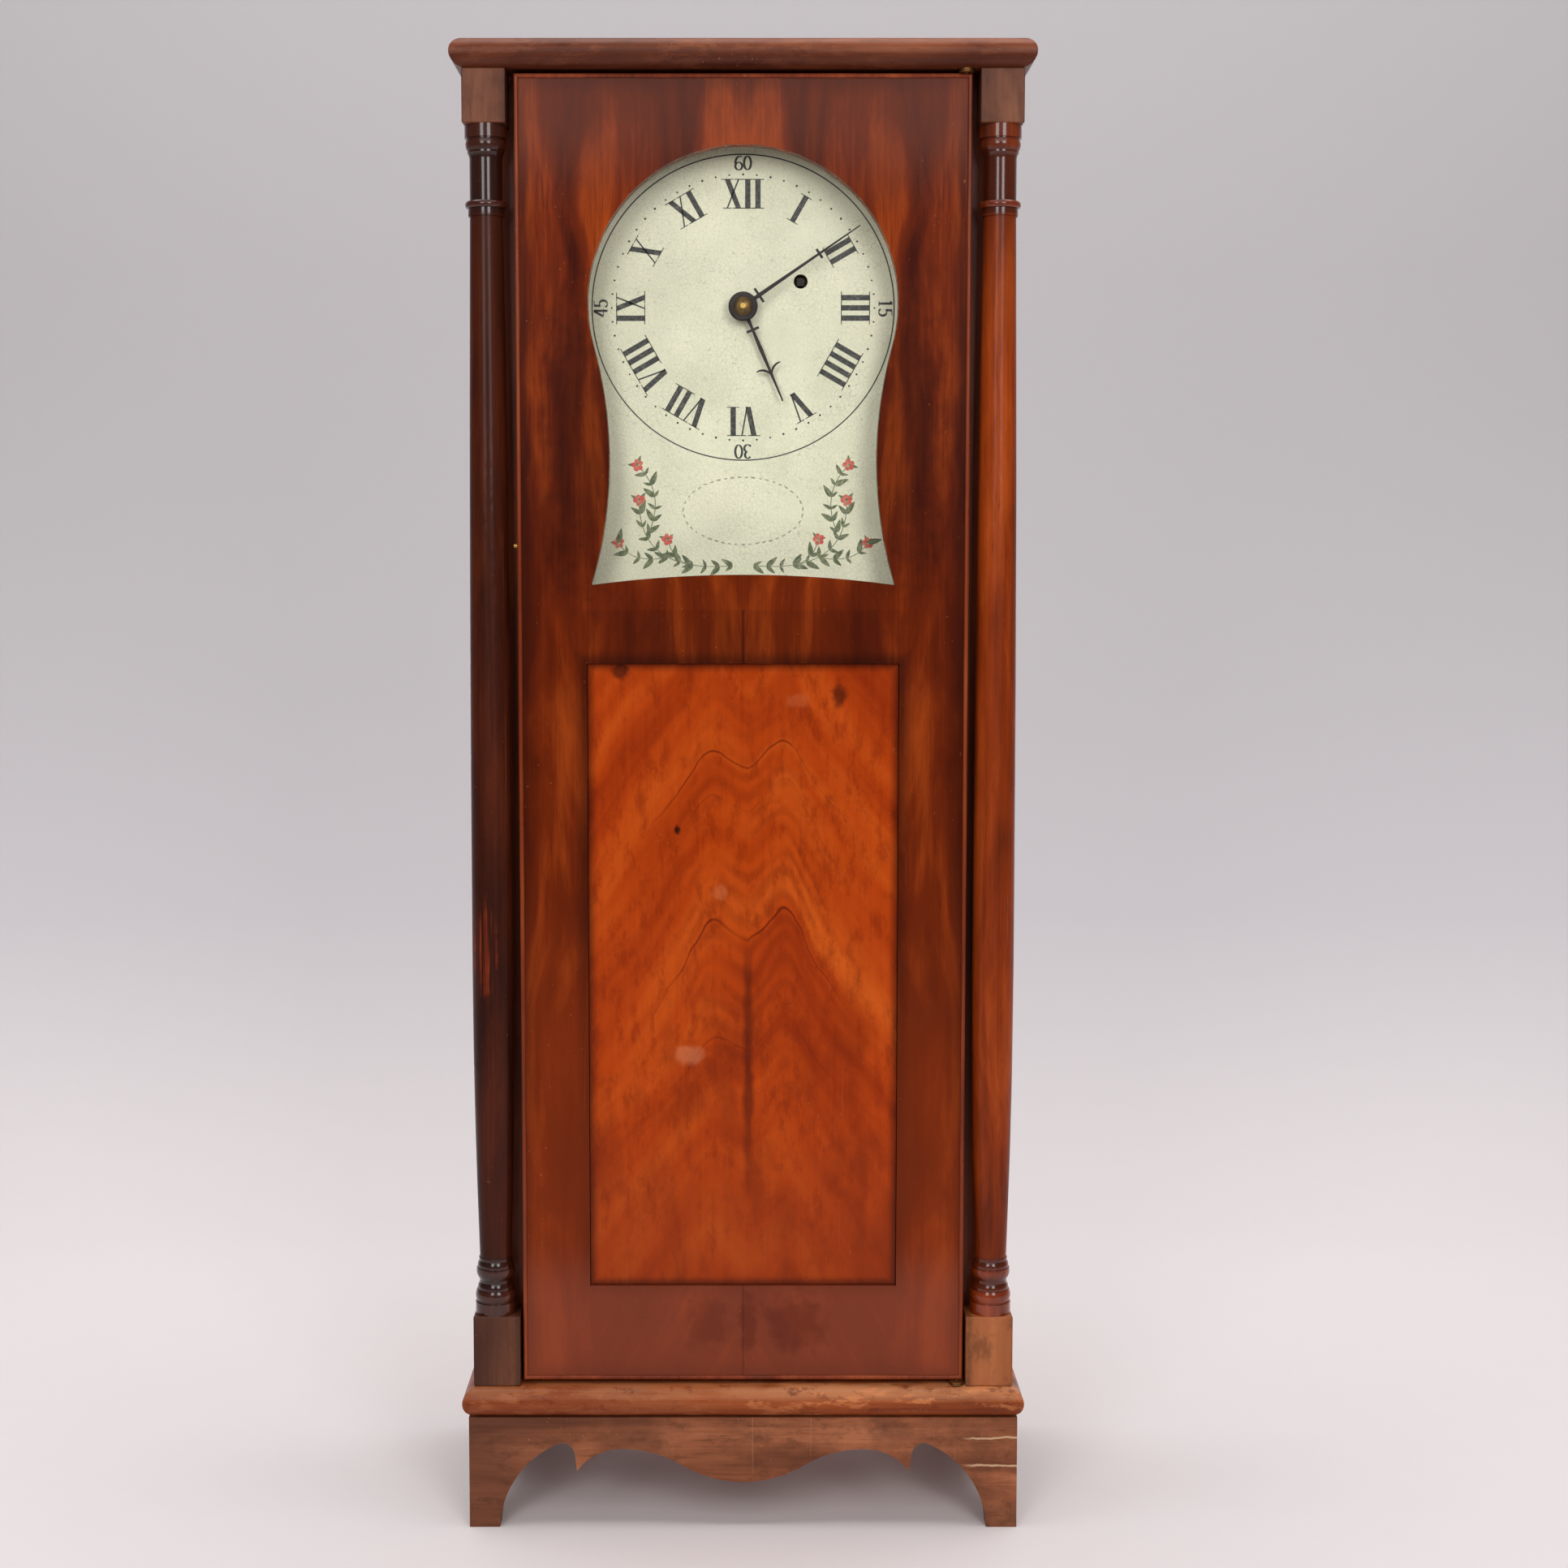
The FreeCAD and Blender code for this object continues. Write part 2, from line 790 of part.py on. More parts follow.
# Seat board on two cleats, with a slot for the weight line
seat_front = dial_back + seat_front_gap
slot_half = line_radius + 2.4
seat_slot = box(line_x - slot_half, line_x + slot_half, drum_start, drum_end, seat_bottom - 1, seat_top + 1)
place("seat_board", box(-side_in, side_in, seat_front, seat_back, seat_bottom, seat_top).cut(seat_slot))
cleat = box(side_in - cleat_size, side_in, seat_front, seat_back, seat_bottom - cleat_size, seat_bottom)
place("seat_cleats", *both_sides(cleat))


# Movement plates
def plate_outline():
    half = plate_half_width
    low = dial_z - plate_below_dial
    high = dial_z + plate_above_dial
    corner = plate_corner
    return polygon(
        [
            (-half, low),
            (half, low),
            (half, high - corner),
            (half - corner, high),
            (corner - half, high),
            (-half, high - corner),
        ]
    )


pillar_spots = [(sx * pillar_x, z) for sx in (-1, 1) for z in (pillar_low_z, pillar_high_z)]
foot_spots = [(sx * dial_foot_x, z) for sx in (-1, 1) for z in (pillar_low_z, pillar_high_z)]
pillar_holes = [circle(x, z, pillar_end_radius) for x, z in pillar_spots]
pivot_hole = pivot_radius + fit_clearance
centre_front_radius = 1.5
front_plate_holes = [
    circle(0, dial_z, centre_front_radius + fit_clearance),
    circle(winding_x, winding_z, winding_arbor_radius + fit_clearance),
    circle(third_x, third_z, pivot_hole),
    circle(escape_x, escape_z, pivot_hole),
    circle(0, pallet_z, pivot_hole),
]
front_plate = cut_sheet(
    [plate_outline()] + pillar_holes + front_plate_holes + [circle(x, z, dial_foot_radius) for x, z in foot_spots],
    plate_front,
    plate_inner,
)
minute_post = rod_y(post_x, post_z, minute_post_radius, plate_front - minute_post_length, plate_front)
place("front_plate", front_plate.fuse(minute_post))
rear_plate_holes = [
    circle(0, dial_z, pivot_hole),
    circle(winding_x, winding_z, pivot_hole + 0.8),
    circle(third_x, third_z, pivot_hole),
    circle(escape_x, escape_z, pivot_hole),
    circle(0, pallet_z, 3.0),
]
place("rear_plate", cut_sheet([plate_outline()] + pillar_holes + rear_plate_holes, rear_inner, rear_outer))

# Pillars with shouldered ends, and taper pins through the ends that stand out in front
pin_half = pillar_end_radius + 1.6
pin_y = plate_front - pin_radius - 0.1
pins = []
pillars = []
for x, z in pillar_spots:
    ends = rod_y(x, z, pillar_end_radius, plate_front - 3, rear_outer)
    pillar = rod_y(x, z, pillar_radius, plate_inner, rear_inner).fuse(ends)
    pin = rod_x(pin_y, z, pin_radius, x - pin_half, x + pin_half)
    pillars.append(pillar.cut(pin))
    pins.append(pin)
place("plate_pillars", *pillars)
foot_pin_y = plate_inner + pin_radius + 0.1
feet = []
for x, z in foot_spots:
    pin = rod_x(foot_pin_y, z, pin_radius, x - pin_half, x + pin_half)
    feet.append(rod_y(x, z, dial_foot_radius, dial_back, plate_inner + 3).cut(pin))
    pins.append(pin)
place("taper_pins", *pins)

place(
    "dial_plate",
    *feet,
    cut_sheet(
        [
            kidney(dial_margin),
            circle(0, dial_z, dial_hole_radius),
            circle(winding_x, winding_z, winding_hole_radius),
        ],
        dial_front,
        dial_back,
    ),
)


# Toothed wheels: straight-sided teeth that run free of each other
def toothed(x, z, count, module, root, half_pitch, addendum, half_tip, phase):
    pitch = count * module / 2
    tip = pitch + addendum * module
    wide = half_pitch * module / pitch
    narrow = half_tip * module / tip
    steps = ((root, -wide), (pitch, -wide), (tip, -narrow), (tip, narrow), (pitch, wide), (root, wide))
    points = []
    for i in range(count):
        centre = phase + 2 * math.pi * i / count
        for radius, turn in steps:
            points.append((x + radius * math.cos(centre + turn), z + radius * math.sin(centre + turn)))
    return polygon(points)


def wheel_outline(x, z, count, module, phase):
    return toothed(x, z, count, module, count * module / 2 - 1.5 * module, 0.66, 1.0, 0.24, phase)


def pinion_outline(x, z, count, module, root, phase):
    return toothed(x, z, count, module, root, 0.46, 0.7, 0.2, phase)


def crossings(x, z, hub, rim, half_spoke, count):
    """The openings between the spokes of a wheel."""
    holes = []
    for i in range(count):
        start = 2 * math.pi * i / count
        stop = start + 2 * math.pi / count

        def p(radius, angle):
            return at(x + radius * math.cos(angle), z + radius * math.sin(angle))

        a_in, a_out = math.asin(half_spoke / hub), math.asin(half_spoke / rim)
        middle = (start + stop) / 2
        holes.append(
            Part.Wire(
                [
                    line(p(hub, start + a_in), p(rim, start + a_out)),
                    arc(p(rim, start + a_out), p(rim, middle), p(rim, stop - a_out)),
                    line(p(rim, stop - a_out), p(hub, stop - a_in)),
                    arc(p(hub, stop - a_in), p(hub, middle), p(hub, start + a_in)),
                ]
            )
        )
    return holes


def spoked_wheel(x, z, count, module, phase, bore, y0, thick):
    root = count * module / 2 - 1.5 * module
    hub = max(bore + 2.2, root * 0.22)
    holes = crossings(x, z, hub, root - 2.4, max(1.1, root * 0.05), 4)
    return cut_sheet([wheel_outline(x, z, count, module, phase), circle(x, z, bore)] + holes, y0, y0 + thick)


def leaf_pinion(x, z, count, module, root, phase, bore, y0, y1):
    return cut_sheet([pinion_outline(x, z, count, module, root, phase), circle(x, z, bore)], y0, y1)


def arbor(x, z, radius):
    body = rod_y(x, z, radius, plate_inner + end_shake, rear_inner - end_shake)
    return body.fuse(rod_y(x, z, pivot_radius, plate_front, rear_outer)).removeSplitter()


def facing(from_x, from_z, to_x, to_z):
    return math.atan2(to_z - from_z, to_x - from_x)


def space_phase(angle, count):
    return angle + math.pi / count


# Great wheel on the winding arbor, with its click
great_y = plate_inner + great_wheel_layer
great_back = great_y + great_wheel_thick
to_centre = facing(winding_x, winding_z, 0, dial_z)
great_bore = winding_arbor_radius + fit_clearance
great_wheel = spoked_wheel(
    winding_x, winding_z, great_teeth, great_module, to_centre, great_bore, great_y, great_wheel_thick
)
ratchet_y = great_back + 0.2
ratchet_back = drum_start
ratchet_radius = drum_flange_radius - 1.0
click_clear = 0.4
click_pivot_x = winding_x + ratchet_radius + 7.4
click_pivot_z = winding_z
click_nose_x = winding_x + (ratchet_radius + click_clear) * math.cos(math.radians(38))
click_nose_z = winding_z + (ratchet_radius + click_clear) * math.sin(math.radians(38))
click_body = cut_sheet(
    [
        polygon(
            [
                (click_pivot_x - 1.8, click_pivot_z),
                (click_pivot_x + 1.8, click_pivot_z),
                (click_nose_x + 3.4, click_nose_z + 1.0),
                (click_nose_x, click_nose_z),
            ]
        )
    ],
    great_back + 0.1,
    ratchet_back - 0.5,
)
click_hub = rod_y(click_pivot_x, click_pivot_z, 2.2, great_back + 0.1, ratchet_back - 0.5)
click_bore = rod_y(click_pivot_x, click_pivot_z, 1.0 + fit_clearance, great_back - 1, ratchet_back + 1)
place("click", click_hub.fuse(click_body).removeSplitter().cut(click_bore))
click_stud = rod_y(click_pivot_x, click_pivot_z, 1.0, great_back, ratchet_back - 0.3)
place("great_wheel", great_wheel, click_stud)


def ratchet_outline():
    points = []
    for i in range(ratchet_teeth):
        angle = 2 * math.pi * i / ratchet_teeth
        low = ratchet_radius - ratchet_tooth_depth
        points.append((winding_x + ratchet_radius * math.cos(angle), winding_z + ratchet_radius * math.sin(angle)))
        points.append((winding_x + low * math.cos(angle + 0.03), winding_z + low * math.sin(angle + 0.03)))
    return polygon(points)


drum_core = rod_y(winding_x, winding_z, drum_core_radius, drum_start, drum_end)
drum_front = rod_y(winding_x, winding_z, drum_flange_radius, drum_start, drum_start + drum_flange_thick)
drum_rear = rod_y(winding_x, winding_z, drum_flange_radius, drum_end - drum_flange_thick, drum_end)
drum_bore = rod_y(winding_x, winding_z, winding_arbor_radius, drum_start - 1, drum_end + 1)
place(
    "winding_drum",
    drum_core.fuse([drum_front, drum_rear]).removeSplitter().cut(drum_bore),
    cut_sheet([ratchet_outline(), circle(winding_x, winding_z, winding_arbor_radius)], ratchet_y, ratchet_back),
)
half_square = winding_square / 2
square_tip = dial_back + square_end_gap
winding_body = rod_y(winding_x, winding_z, winding_arbor_radius, plate_front - 0.5, rear_inner - end_shake)
winding_tip = box(
    winding_x - half_square, winding_x + half_square, square_tip, plate_front - 0.5,
    winding_z - half_square, winding_z + half_square,
)
winding_pivot = rod_y(winding_x, winding_z, pivot_radius + 0.8, rear_inner - 1, rear_outer)
place("winding_arbor", winding_body.fuse([winding_tip, winding_pivot]))

# Centre arbor: pinion driven by the great wheel, wheel that drives the third pinion
centre_radius = 1.25
collet_y = dial_front - minute_hand_ahead - hand_hub_thick - 0.1
collet_pin_y = collet_y - collet_height - collet_pin_radius
centre_end = collet_pin_y - 1.0
centre_body = rod_y(0, dial_z, centre_radius, plate_inner + 0.2, rear_inner - end_shake)
centre_nose = rod_y(0, dial_z, centre_front_radius, centre_end, plate_inner + end_shake)
centre_pivot = rod_y(0, dial_z, pivot_radius, rear_inner - 1, rear_outer)
collet_pin = Part.makeCylinder(
    collet_pin_radius, 2 * collet_radius - 2, V(0, collet_pin_y, dial_z - collet_radius + 1), Z_AXIS
)
centre_arbor = centre_body.fuse([centre_nose, centre_pivot]).removeSplitter().cut(collet_pin)
to_winding = facing(0, dial_z, winding_x, winding_z)
to_third = facing(0, dial_z, third_x, third_z)
centre_wheel_y = plate_inner + centre_wheel_layer
place(
    "centre_wheel",
    centre_arbor,
    spoked_wheel(0, dial_z, centre_teeth, centre_module, to_third, centre_radius, centre_wheel_y, wheel_thick),
    leaf_pinion(
        0, dial_z, pinion_leaves, great_module, centre_radius + 0.05, space_phase(to_winding, pinion_leaves),
        centre_radius, great_y - 0.8, great_back + 0.8,
    ),
)
collet_dome = Part.makeSphere(9.0, V(0, collet_y - collet_height + 9.0, dial_z)).common(
    rod_y(0, dial_z, collet_radius, collet_y - collet_height, collet_y)
)
place("hand_collet", collet_dome.cut(rod_y(0, dial_z, centre_front_radius, centre_end, collet_y + 1)), collet_pin)

# Third and escape arbors
third_radius = 1.15
third_wheel_y = plate_inner + third_wheel_layer
from_centre = facing(third_x, third_z, 0, dial_z)
to_escape = facing(third_x, third_z, escape_x, escape_z)
place(
    "third_wheel",
    arbor(third_x, third_z, third_radius),
    leaf_pinion(
        third_x, third_z, pinion_leaves, centre_module, third_radius + 0.05,
        space_phase(from_centre, pinion_leaves), third_radius,
        centre_wheel_y - 0.8, centre_wheel_y + wheel_thick + 0.8,
    ),
    spoked_wheel(
        third_x, third_z, third_teeth, third_module, to_escape, third_radius, third_wheel_y, wheel_thick
    ),
)
escape_arbor_radius = 1.0
escape_y = plate_inner + escape_wheel_layer
from_third = facing(escape_x, escape_z, third_x, third_z)


def escape_outline():
    points = []
    low = escape_radius - escape_tooth_depth
    pitch = 2 * math.pi / escape_teeth
    for i in range(escape_teeth):
        angle = pitch * i
        for radius, turn in ((low, -0.42), (escape_radius, 0.0), (escape_radius, 0.06), (low, 0.12)):
            points.append(
                (
                    escape_x + radius * math.cos(angle + turn * pitch),
                    escape_z + radius * math.sin(angle + turn * pitch),
                )
            )
    return polygon(points)


escape_rim = escape_radius - escape_tooth_depth - 2.0
place(
    "escape_wheel",
    arbor(escape_x, escape_z, escape_arbor_radius),
    leaf_pinion(
        escape_x, escape_z, pinion_leaves, third_module, escape_arbor_radius + 0.05,
        space_phase(from_third, pinion_leaves), escape_arbor_radius,
        third_wheel_y - 0.8, third_wheel_y + wheel_thick + 0.8,
    ),
    cut_sheet(
        [escape_outline(), circle(escape_x, escape_z, escape_arbor_radius)]
        + crossings(escape_x, escape_z, escape_arbor_radius + 2.2, escape_rim, 1.1, 4),
        escape_y,
        escape_y + wheel_thick,
    ),
)

# Pallets and crutch on their own arbor
pallet_in = escape_radius + pallet_clearance
band_in = escape_radius + 4.4
band_out = pallet_in + escape_radius * (math.sqrt(2) - 1) + 2.0


def ring_point(radius, degrees):
    turn = math.radians(degrees)
    return at(escape_x + radius * math.cos(turn), escape_z + radius * math.sin(turn))


def pallet_outline():
    nib = 9.0
    return Part.Wire(
        [
            arc(ring_point(band_out, 45), ring_point(band_out, 90), ring_point(band_out, 135)),
            line(ring_point(band_out, 135), ring_point(pallet_in, 135)),
            line(ring_point(pallet_in, 135), ring_point(band_in, 135 - nib)),
            arc(ring_point(band_in, 135 - nib), ring_point(band_in, 90), ring_point(band_in, 45 + nib)),
            line(ring_point(band_in, 45 + nib), ring_point(pallet_in, 45)),
            line(ring_point(pallet_in, 45), ring_point(band_out, 45)),
        ]
    )


pallet_arbor_radius = 1.5
cock_back = pendulum_y - 5.0
cock_front = cock_back - cock_plate_thick
pallet_arbor = rod_y(0, pallet_z, pallet_arbor_radius, plate_inner + end_shake, cock_front - end_shake)
pallet_pivots = rod_y(0, pallet_z, pivot_radius, plate_front, cock_back)
place(
    "pallets",
    cut_sheet(
        [pallet_outline(), circle(0, pallet_z, pallet_arbor_radius)],
        escape_y - 0.6,
        escape_y + wheel_thick + 0.6,
    ),
    pallet_arbor.fuse(pallet_pivots).removeSplitter(),
)
crutch_y = rear_outer + 3.2
crutch_low = pallet_z - crutch_drop
crutch_hub = tube_y(0, pallet_z, 3.2, pallet_arbor_radius, crutch_y - 1.6, crutch_y + 1.6)
crutch_rod = rod_z(0, crutch_y, crutch_radius, crutch_low, pallet_z - 2.4)
crutch_bar = crutch_radius + 0.4
fork_in = rod_radius + 0.25
fork_y = pendulum_y - rod_radius - 3.2
crutch_arm = box(
    -crutch_bar, crutch_bar, crutch_y - crutch_bar, fork_y + 1.0,
    crutch_low - crutch_bar, crutch_low + crutch_bar,
)
fork = box(
    -fork_in - 1.4, fork_in + 1.4, fork_y, pendulum_y + rod_radius + 1.4,
    crutch_low - crutch_bar, crutch_low + crutch_bar,
).cut(
    box(
        -fork_in, fork_in, pendulum_y - rod_radius - 1.0, pendulum_y + rod_radius + 5,
        crutch_low - 5, crutch_low + 5,
    )
)
place("crutch", crutch_hub.fuse([crutch_rod, crutch_arm, fork]).removeSplitter())

# Cock: a bridge behind the rear plate that carries the pallet pivot and the suspension
cock_low = pallet_z - 7.0
cock_high = cock_low + cock_height
cock_leg = 6.0
cock_bridge = box(-cock_half_width, cock_half_width, cock_front, cock_back, cock_low, cock_high)
cock_legs = [
    box(x0, x0 + cock_leg, rear_outer, cock_front, cock_low, cock_high)
    for x0 in (-cock_half_width, cock_half_width - cock_leg)
]
arm_low = pallet_z + 4.0
arm_high = arm_low + 8.0
arm_back = pendulum_y + spring_width / 2 + 3.0
cock_arm = box(-6, 6, cock_back, arm_back, arm_low, arm_high)
arm_slot = box(-1.0, 1.0, pendulum_y - spring_width / 2 - 0.6, arm_back + 1, arm_low - 1, arm_high + 1)
pivot_bore = rod_y(0, pallet_z, pivot_hole, cock_front - 1, cock_back + 1)
cock_screw_z = cock_high - 6.0
cock_screw_x = cock_half_width - cock_leg / 2
cock_bores = [rod_y(s * cock_screw_x, cock_screw_z, 1.5, rear_outer - 1, cock_back + 1) for s in (-1, 1)]
cock = cock_bridge.fuse(cock_legs + [cock_arm]).removeSplitter()
place("pendulum_cock", cock.cut([arm_slot, pivot_bore] + cock_bores))
cock_screws = [
    rod_y(s * cock_screw_x, cock_screw_z, 1.5, rear_outer, cock_back).fuse(
        rod_y(s * cock_screw_x, cock_screw_z, 2.6, cock_back, cock_back + 1.8)
    )
    for s in (-1, 1)
]
place("cock_screws", *[screw.removeSplitter() for screw in cock_screws])

# Pendulum: spring with a cross piece on top, rod, bob and rating nut
rod_top = pallet_z - 12.0
spring_top = arm_high + 0.3
spring_half = spring_width / 2
spring_strip = box(
    -spring_thick / 2, spring_thick / 2, pendulum_y - spring_half, pendulum_y + spring_half, rod_top, spring_top
)
spring_cross = box(-4, 4, pendulum_y - spring_half, pendulum_y + spring_half, spring_top, spring_top + 3)
place("suspension_spring", spring_strip.fuse(spring_cross).removeSplitter())
bob_low = bob_z - bob_radius
nut_top = bob_low - nut_gap
rod_low = nut_top - nut_height - rod_tail
rod_head = box(-2.6, 2.6, pendulum_y - spring_half, pendulum_y + spring_half, rod_top - 8, rod_top)
rod_body = rod_z(0, pendulum_y, rod_radius, rod_low, rod_top - 8)
place("pendulum_rod", rod_head.fuse(rod_body).removeSplitter())
bow = (bob_radius ** 2 + (bob_thick / 2) ** 2) / bob_thick
lens_front = Part.makeSphere(bow, V(0, pendulum_y - bob_thick / 2 + bow, bob_z))
lens_rear = Part.makeSphere(bow, V(0, pendulum_y + bob_thick / 2 - bow, bob_z))
bob_bore = rod_radius + bob_bore_clearance
lens = lens_front.common(lens_rear)
bob_tail = rod_z(0, pendulum_y, 3.4, bob_low, bob_z)
place(
    "pendulum_bob",
    lens.fuse(bob_tail).removeSplitter().cut(rod_z(0, pendulum_y, bob_bore, bob_low - 1, bob_z + bob_radius + 1)),
)
nut = rod_z(0, pendulum_y, nut_radius, nut_top - nut_height, nut_top)
place("rating_nut", nut.cut(rod_z(0, pendulum_y, rod_radius + fit_clearance, rod_low, nut_top + 1)))

# Motion work between the front plate and the dial
cannon_y = plate_front - 5.0
cannon_pipe_radius = 2.3
cannon_bore = centre_front_radius + fit_clearance
cannon_root = cannon_pipe_radius + 0.05
minute_hub_y = dial_front - minute_hand_ahead
to_post = facing(0, dial_z, post_x, post_z)
from_post = facing(post_x, post_z, 0, dial_z)
place(
    "cannon_pinion",
    tube_y(0, dial_z, cannon_pipe_radius, cannon_bore, minute_hub_y - hand_hub_thick, plate_front - 1.0),
    leaf_pinion(
        0, dial_z, cannon_leaves, minute_module, cannon_root, space_phase(to_post, cannon_leaves),
        cannon_pipe_radius, cannon_y - 0.4, cannon_y + wheel_thick + 0.4,
    ),
)
post_bore = minute_post_radius + fit_clearance
minute_hub = post_bore + 0.45
hour_wheel_y = cannon_y - 3.6
place(
    "minute_wheel",
    spoked_wheel(post_x, post_z, minute_teeth, minute_module, from_post, minute_hub, cannon_y, wheel_thick),
    leaf_pinion(
        post_x, post_z, minute_leaves, hour_module, minute_hub, space_phase(from_post, minute_leaves),
        post_bore, hour_wheel_y - 0.4, cannon_y - 0.2,
    ),
    tube_y(post_x, post_z, minute_hub, post_bore, cannon_y - 0.2, cannon_y + wheel_thick),
)
hour_bore = cannon_pipe_radius + fit_clearance
hour_pipe_radius = 3.4
hour_hub_y = dial_front - hour_hand_ahead
place(
    "hour_wheel",
    spoked_wheel(0, dial_z, hour_teeth, hour_module, to_post, hour_pipe_radius, hour_wheel_y, wheel_thick),
    tube_y(0, dial_z, hour_pipe_radius, hour_bore, hour_hub_y - hand_hub_thick, hour_wheel_y + wheel_thick),
)


# Hands: cut from sheet, drawn pointing to twelve and turned to the hour shown
def hand_blank(outlines, hub_radius, bore, hub_y, turn):
    middle_y = hub_y - hand_hub_thick / 2
    sheets = [cut_sheet([wire], middle_y - hand_thick / 2, middle_y + hand_thick / 2) for wire in outlines]
    hub = rod_y(0, 0, hub_radius, hub_y - hand_hub_thick, hub_y)
    rims = [edge for edge in hub.Edges if len(edge.Vertexes) == 1]
    front_rim = [edge for edge in rims if edge.Vertexes[0].Point.y < middle_y]
    hub = hub.makeFillet(hand_hub_thick * 0.4, front_rim)
    hole = rod_y(0, 0, bore, hub_y - 2 * hand_hub_thick, hub_y + hand_hub_thick)
    hand = hub.fuse(sheets).removeSplitter().cut(hole)
    hand.rotate(V(0, 0, 0), Y_AXIS, turn)
    hand.translate(V(0, 0, dial_z))
    return hand


def both_edges(right):
    return polygon(right + [(-x, z) for x, z in reversed(right)])


def minute_blade():
    def blade(level):
        share = level / minute_hand_length
        return minute_root_half * (1 - share) + minute_tip_half * share

    right = [(minute_root_half, 0)]
    for level, half in ((minute_low_bar, minute_low_bar_half), (minute_high_bar, minute_high_bar_half)):
        low, high = level - hand_bar_height / 2, level + hand_bar_height / 2
        right += [(blade(low), low), (half, low), (half, high), (blade(high), high)]
    right.append((minute_tip_half, minute_hand_length))
    return both_edges(right)


def hour_blade():
    low, high = hour_bar - hand_bar_height / 2, hour_bar + hand_bar_height / 2
    slim = hour_root_half * 0.55
    right = [
        (hour_root_half, 0),
        (slim, low),
        (hour_bar_half, low),
        (hour_bar_half, high),
        (slim, high),
        (hour_root_half * 0.8, (high + hour_arm_root) * 0.45),
        (slim, hour_arm_root - hour_arm_drop),
        (slim, hour_arm_root),
        (hour_tip_half, hour_hand_length),
    ]
    return both_edges(right)


def hour_arm(sign):
    """A thin arm that leaves the blade backward and turns outward, as on an anchor."""
    bend = math.sqrt(0.5)
    tip = hour_arm_root - hour_arm_drop
    mid_x = hour_arm_reach * (1 - bend)
    mid_z = hour_arm_root - hour_arm_drop * bend
    half = hour_arm_thick / 2 * bend

    def p(x, z):
        return at(sign * x, z)

    root_low, root_high = p(0, hour_arm_root - hour_arm_thick), p(0, hour_arm_root + hour_arm_thick)
    tip_low, tip_high = p(hour_arm_reach, tip), p(hour_arm_reach, tip + hour_arm_tip)
    edges = [
        arc(root_high, p(mid_x + half, mid_z + half), tip_high),
        line(tip_high, tip_low),
        arc(tip_low, p(mid_x - half, mid_z - half), root_low),
        line(root_low, root_high),
    ]
    return Part.Wire(edges)


place(
    "minute_hand",
    hand_blank([minute_blade()], hand_hub_radius, cannon_pipe_radius, minute_hub_y, minute_hand_angle),
)
place(
    "hour_hand",
    hand_blank(
        [hour_blade(), hour_arm(1), hour_arm(-1)],
        hour_hub_radius, hour_pipe_radius, hour_hub_y, hour_hand_angle,
    ),
)

# Weight, stirrup, pulley and the line that they hang on
weight_body = rod_z(0, line_y, weight_radius, weight_bottom, weight_top)
place("weight", weight_body.makeFillet(2.5, [e for e in weight_body.Edges if len(e.Vertexes) == 1]))
pulley_run = line_x
pulley_core = pulley_run - line_radius - line_gap
pulley_out = pulley_run + pulley_flange
axle_radius = 2.0
groove_face = Part.Face(
    Part.makePolygon(
        [
            V(axle_radius + fit_clearance, line_y - pulley_thick / 2, 0),
            V(pulley_out, line_y - pulley_thick / 2, 0),
            V(pulley_out, line_y - pulley_thick / 2 + 0.8, 0),
            V(pulley_core, line_y - line_radius - 0.6, 0),
            V(pulley_core, line_y + line_radius + 0.6, 0),
            V(pulley_out, line_y + pulley_thick / 2 - 0.8, 0),
            V(pulley_out, line_y + pulley_thick / 2, 0),
            V(axle_radius + fit_clearance, line_y + pulley_thick / 2, 0),
            V(axle_radius + fit_clearance, line_y - pulley_thick / 2, 0),
        ]
    )
)
pulley = groove_face.revolve(V(0, 0, 0), Y_AXIS, 360)
pulley.translate(V(0, 0, pulley_z))
place("pulley_wheel", pulley)
strap_in = pulley_thick / 2 + stirrup_gap
strap_out = strap_in + stirrup_thick
straps = [
    box(-5, 5, line_y + y0, line_y + y0 + stirrup_thick, weight_top, pulley_z + 6)
    for y0 in (-strap_out, strap_in)
]
strap_foot = box(-5, 5, line_y - strap_out, line_y + strap_out, weight_top, weight_top + stirrup_thick)
axle = rod_y(0, pulley_z, axle_radius, line_y - strap_out, line_y + strap_out)
place("pulley_stirrup", straps[0].fuse([straps[1], strap_foot, axle]).removeSplitter())

anchor_low = seat_bottom - anchor_drop
place("line_anchor", rod_z(-line_x, line_y, 2.4, anchor_low, seat_bottom))
fall_right = rod_z(line_x, line_y, line_radius, pulley_z, winding_z)
fall_left = rod_z(-line_x, line_y, line_radius, pulley_z, anchor_low)
wrap_face = Part.Face(Part.Wire(Part.makeCircle(line_radius, V(line_x, line_y, 0), Z_AXIS)))
wrap = wrap_face.revolve(V(0, line_y, 0), Y_AXIS, 180)
wrap.translate(V(0, 0, pulley_z))
place("weight_line", fall_right.fuse([wrap, fall_left]).removeSplitter())


# Screws: the backboard to the sides, the seat board to the cleats
def wood_screw(x, y, z, axis):
    shank = Part.makeCylinder(screw_radius, screw_length, V(x, y, z), axis)
    head = Part.makeCylinder(screw_head_radius, screw_head_height, V(x, y, z) - axis * screw_head_height, axis)
    return shank.fuse(head).removeSplitter()


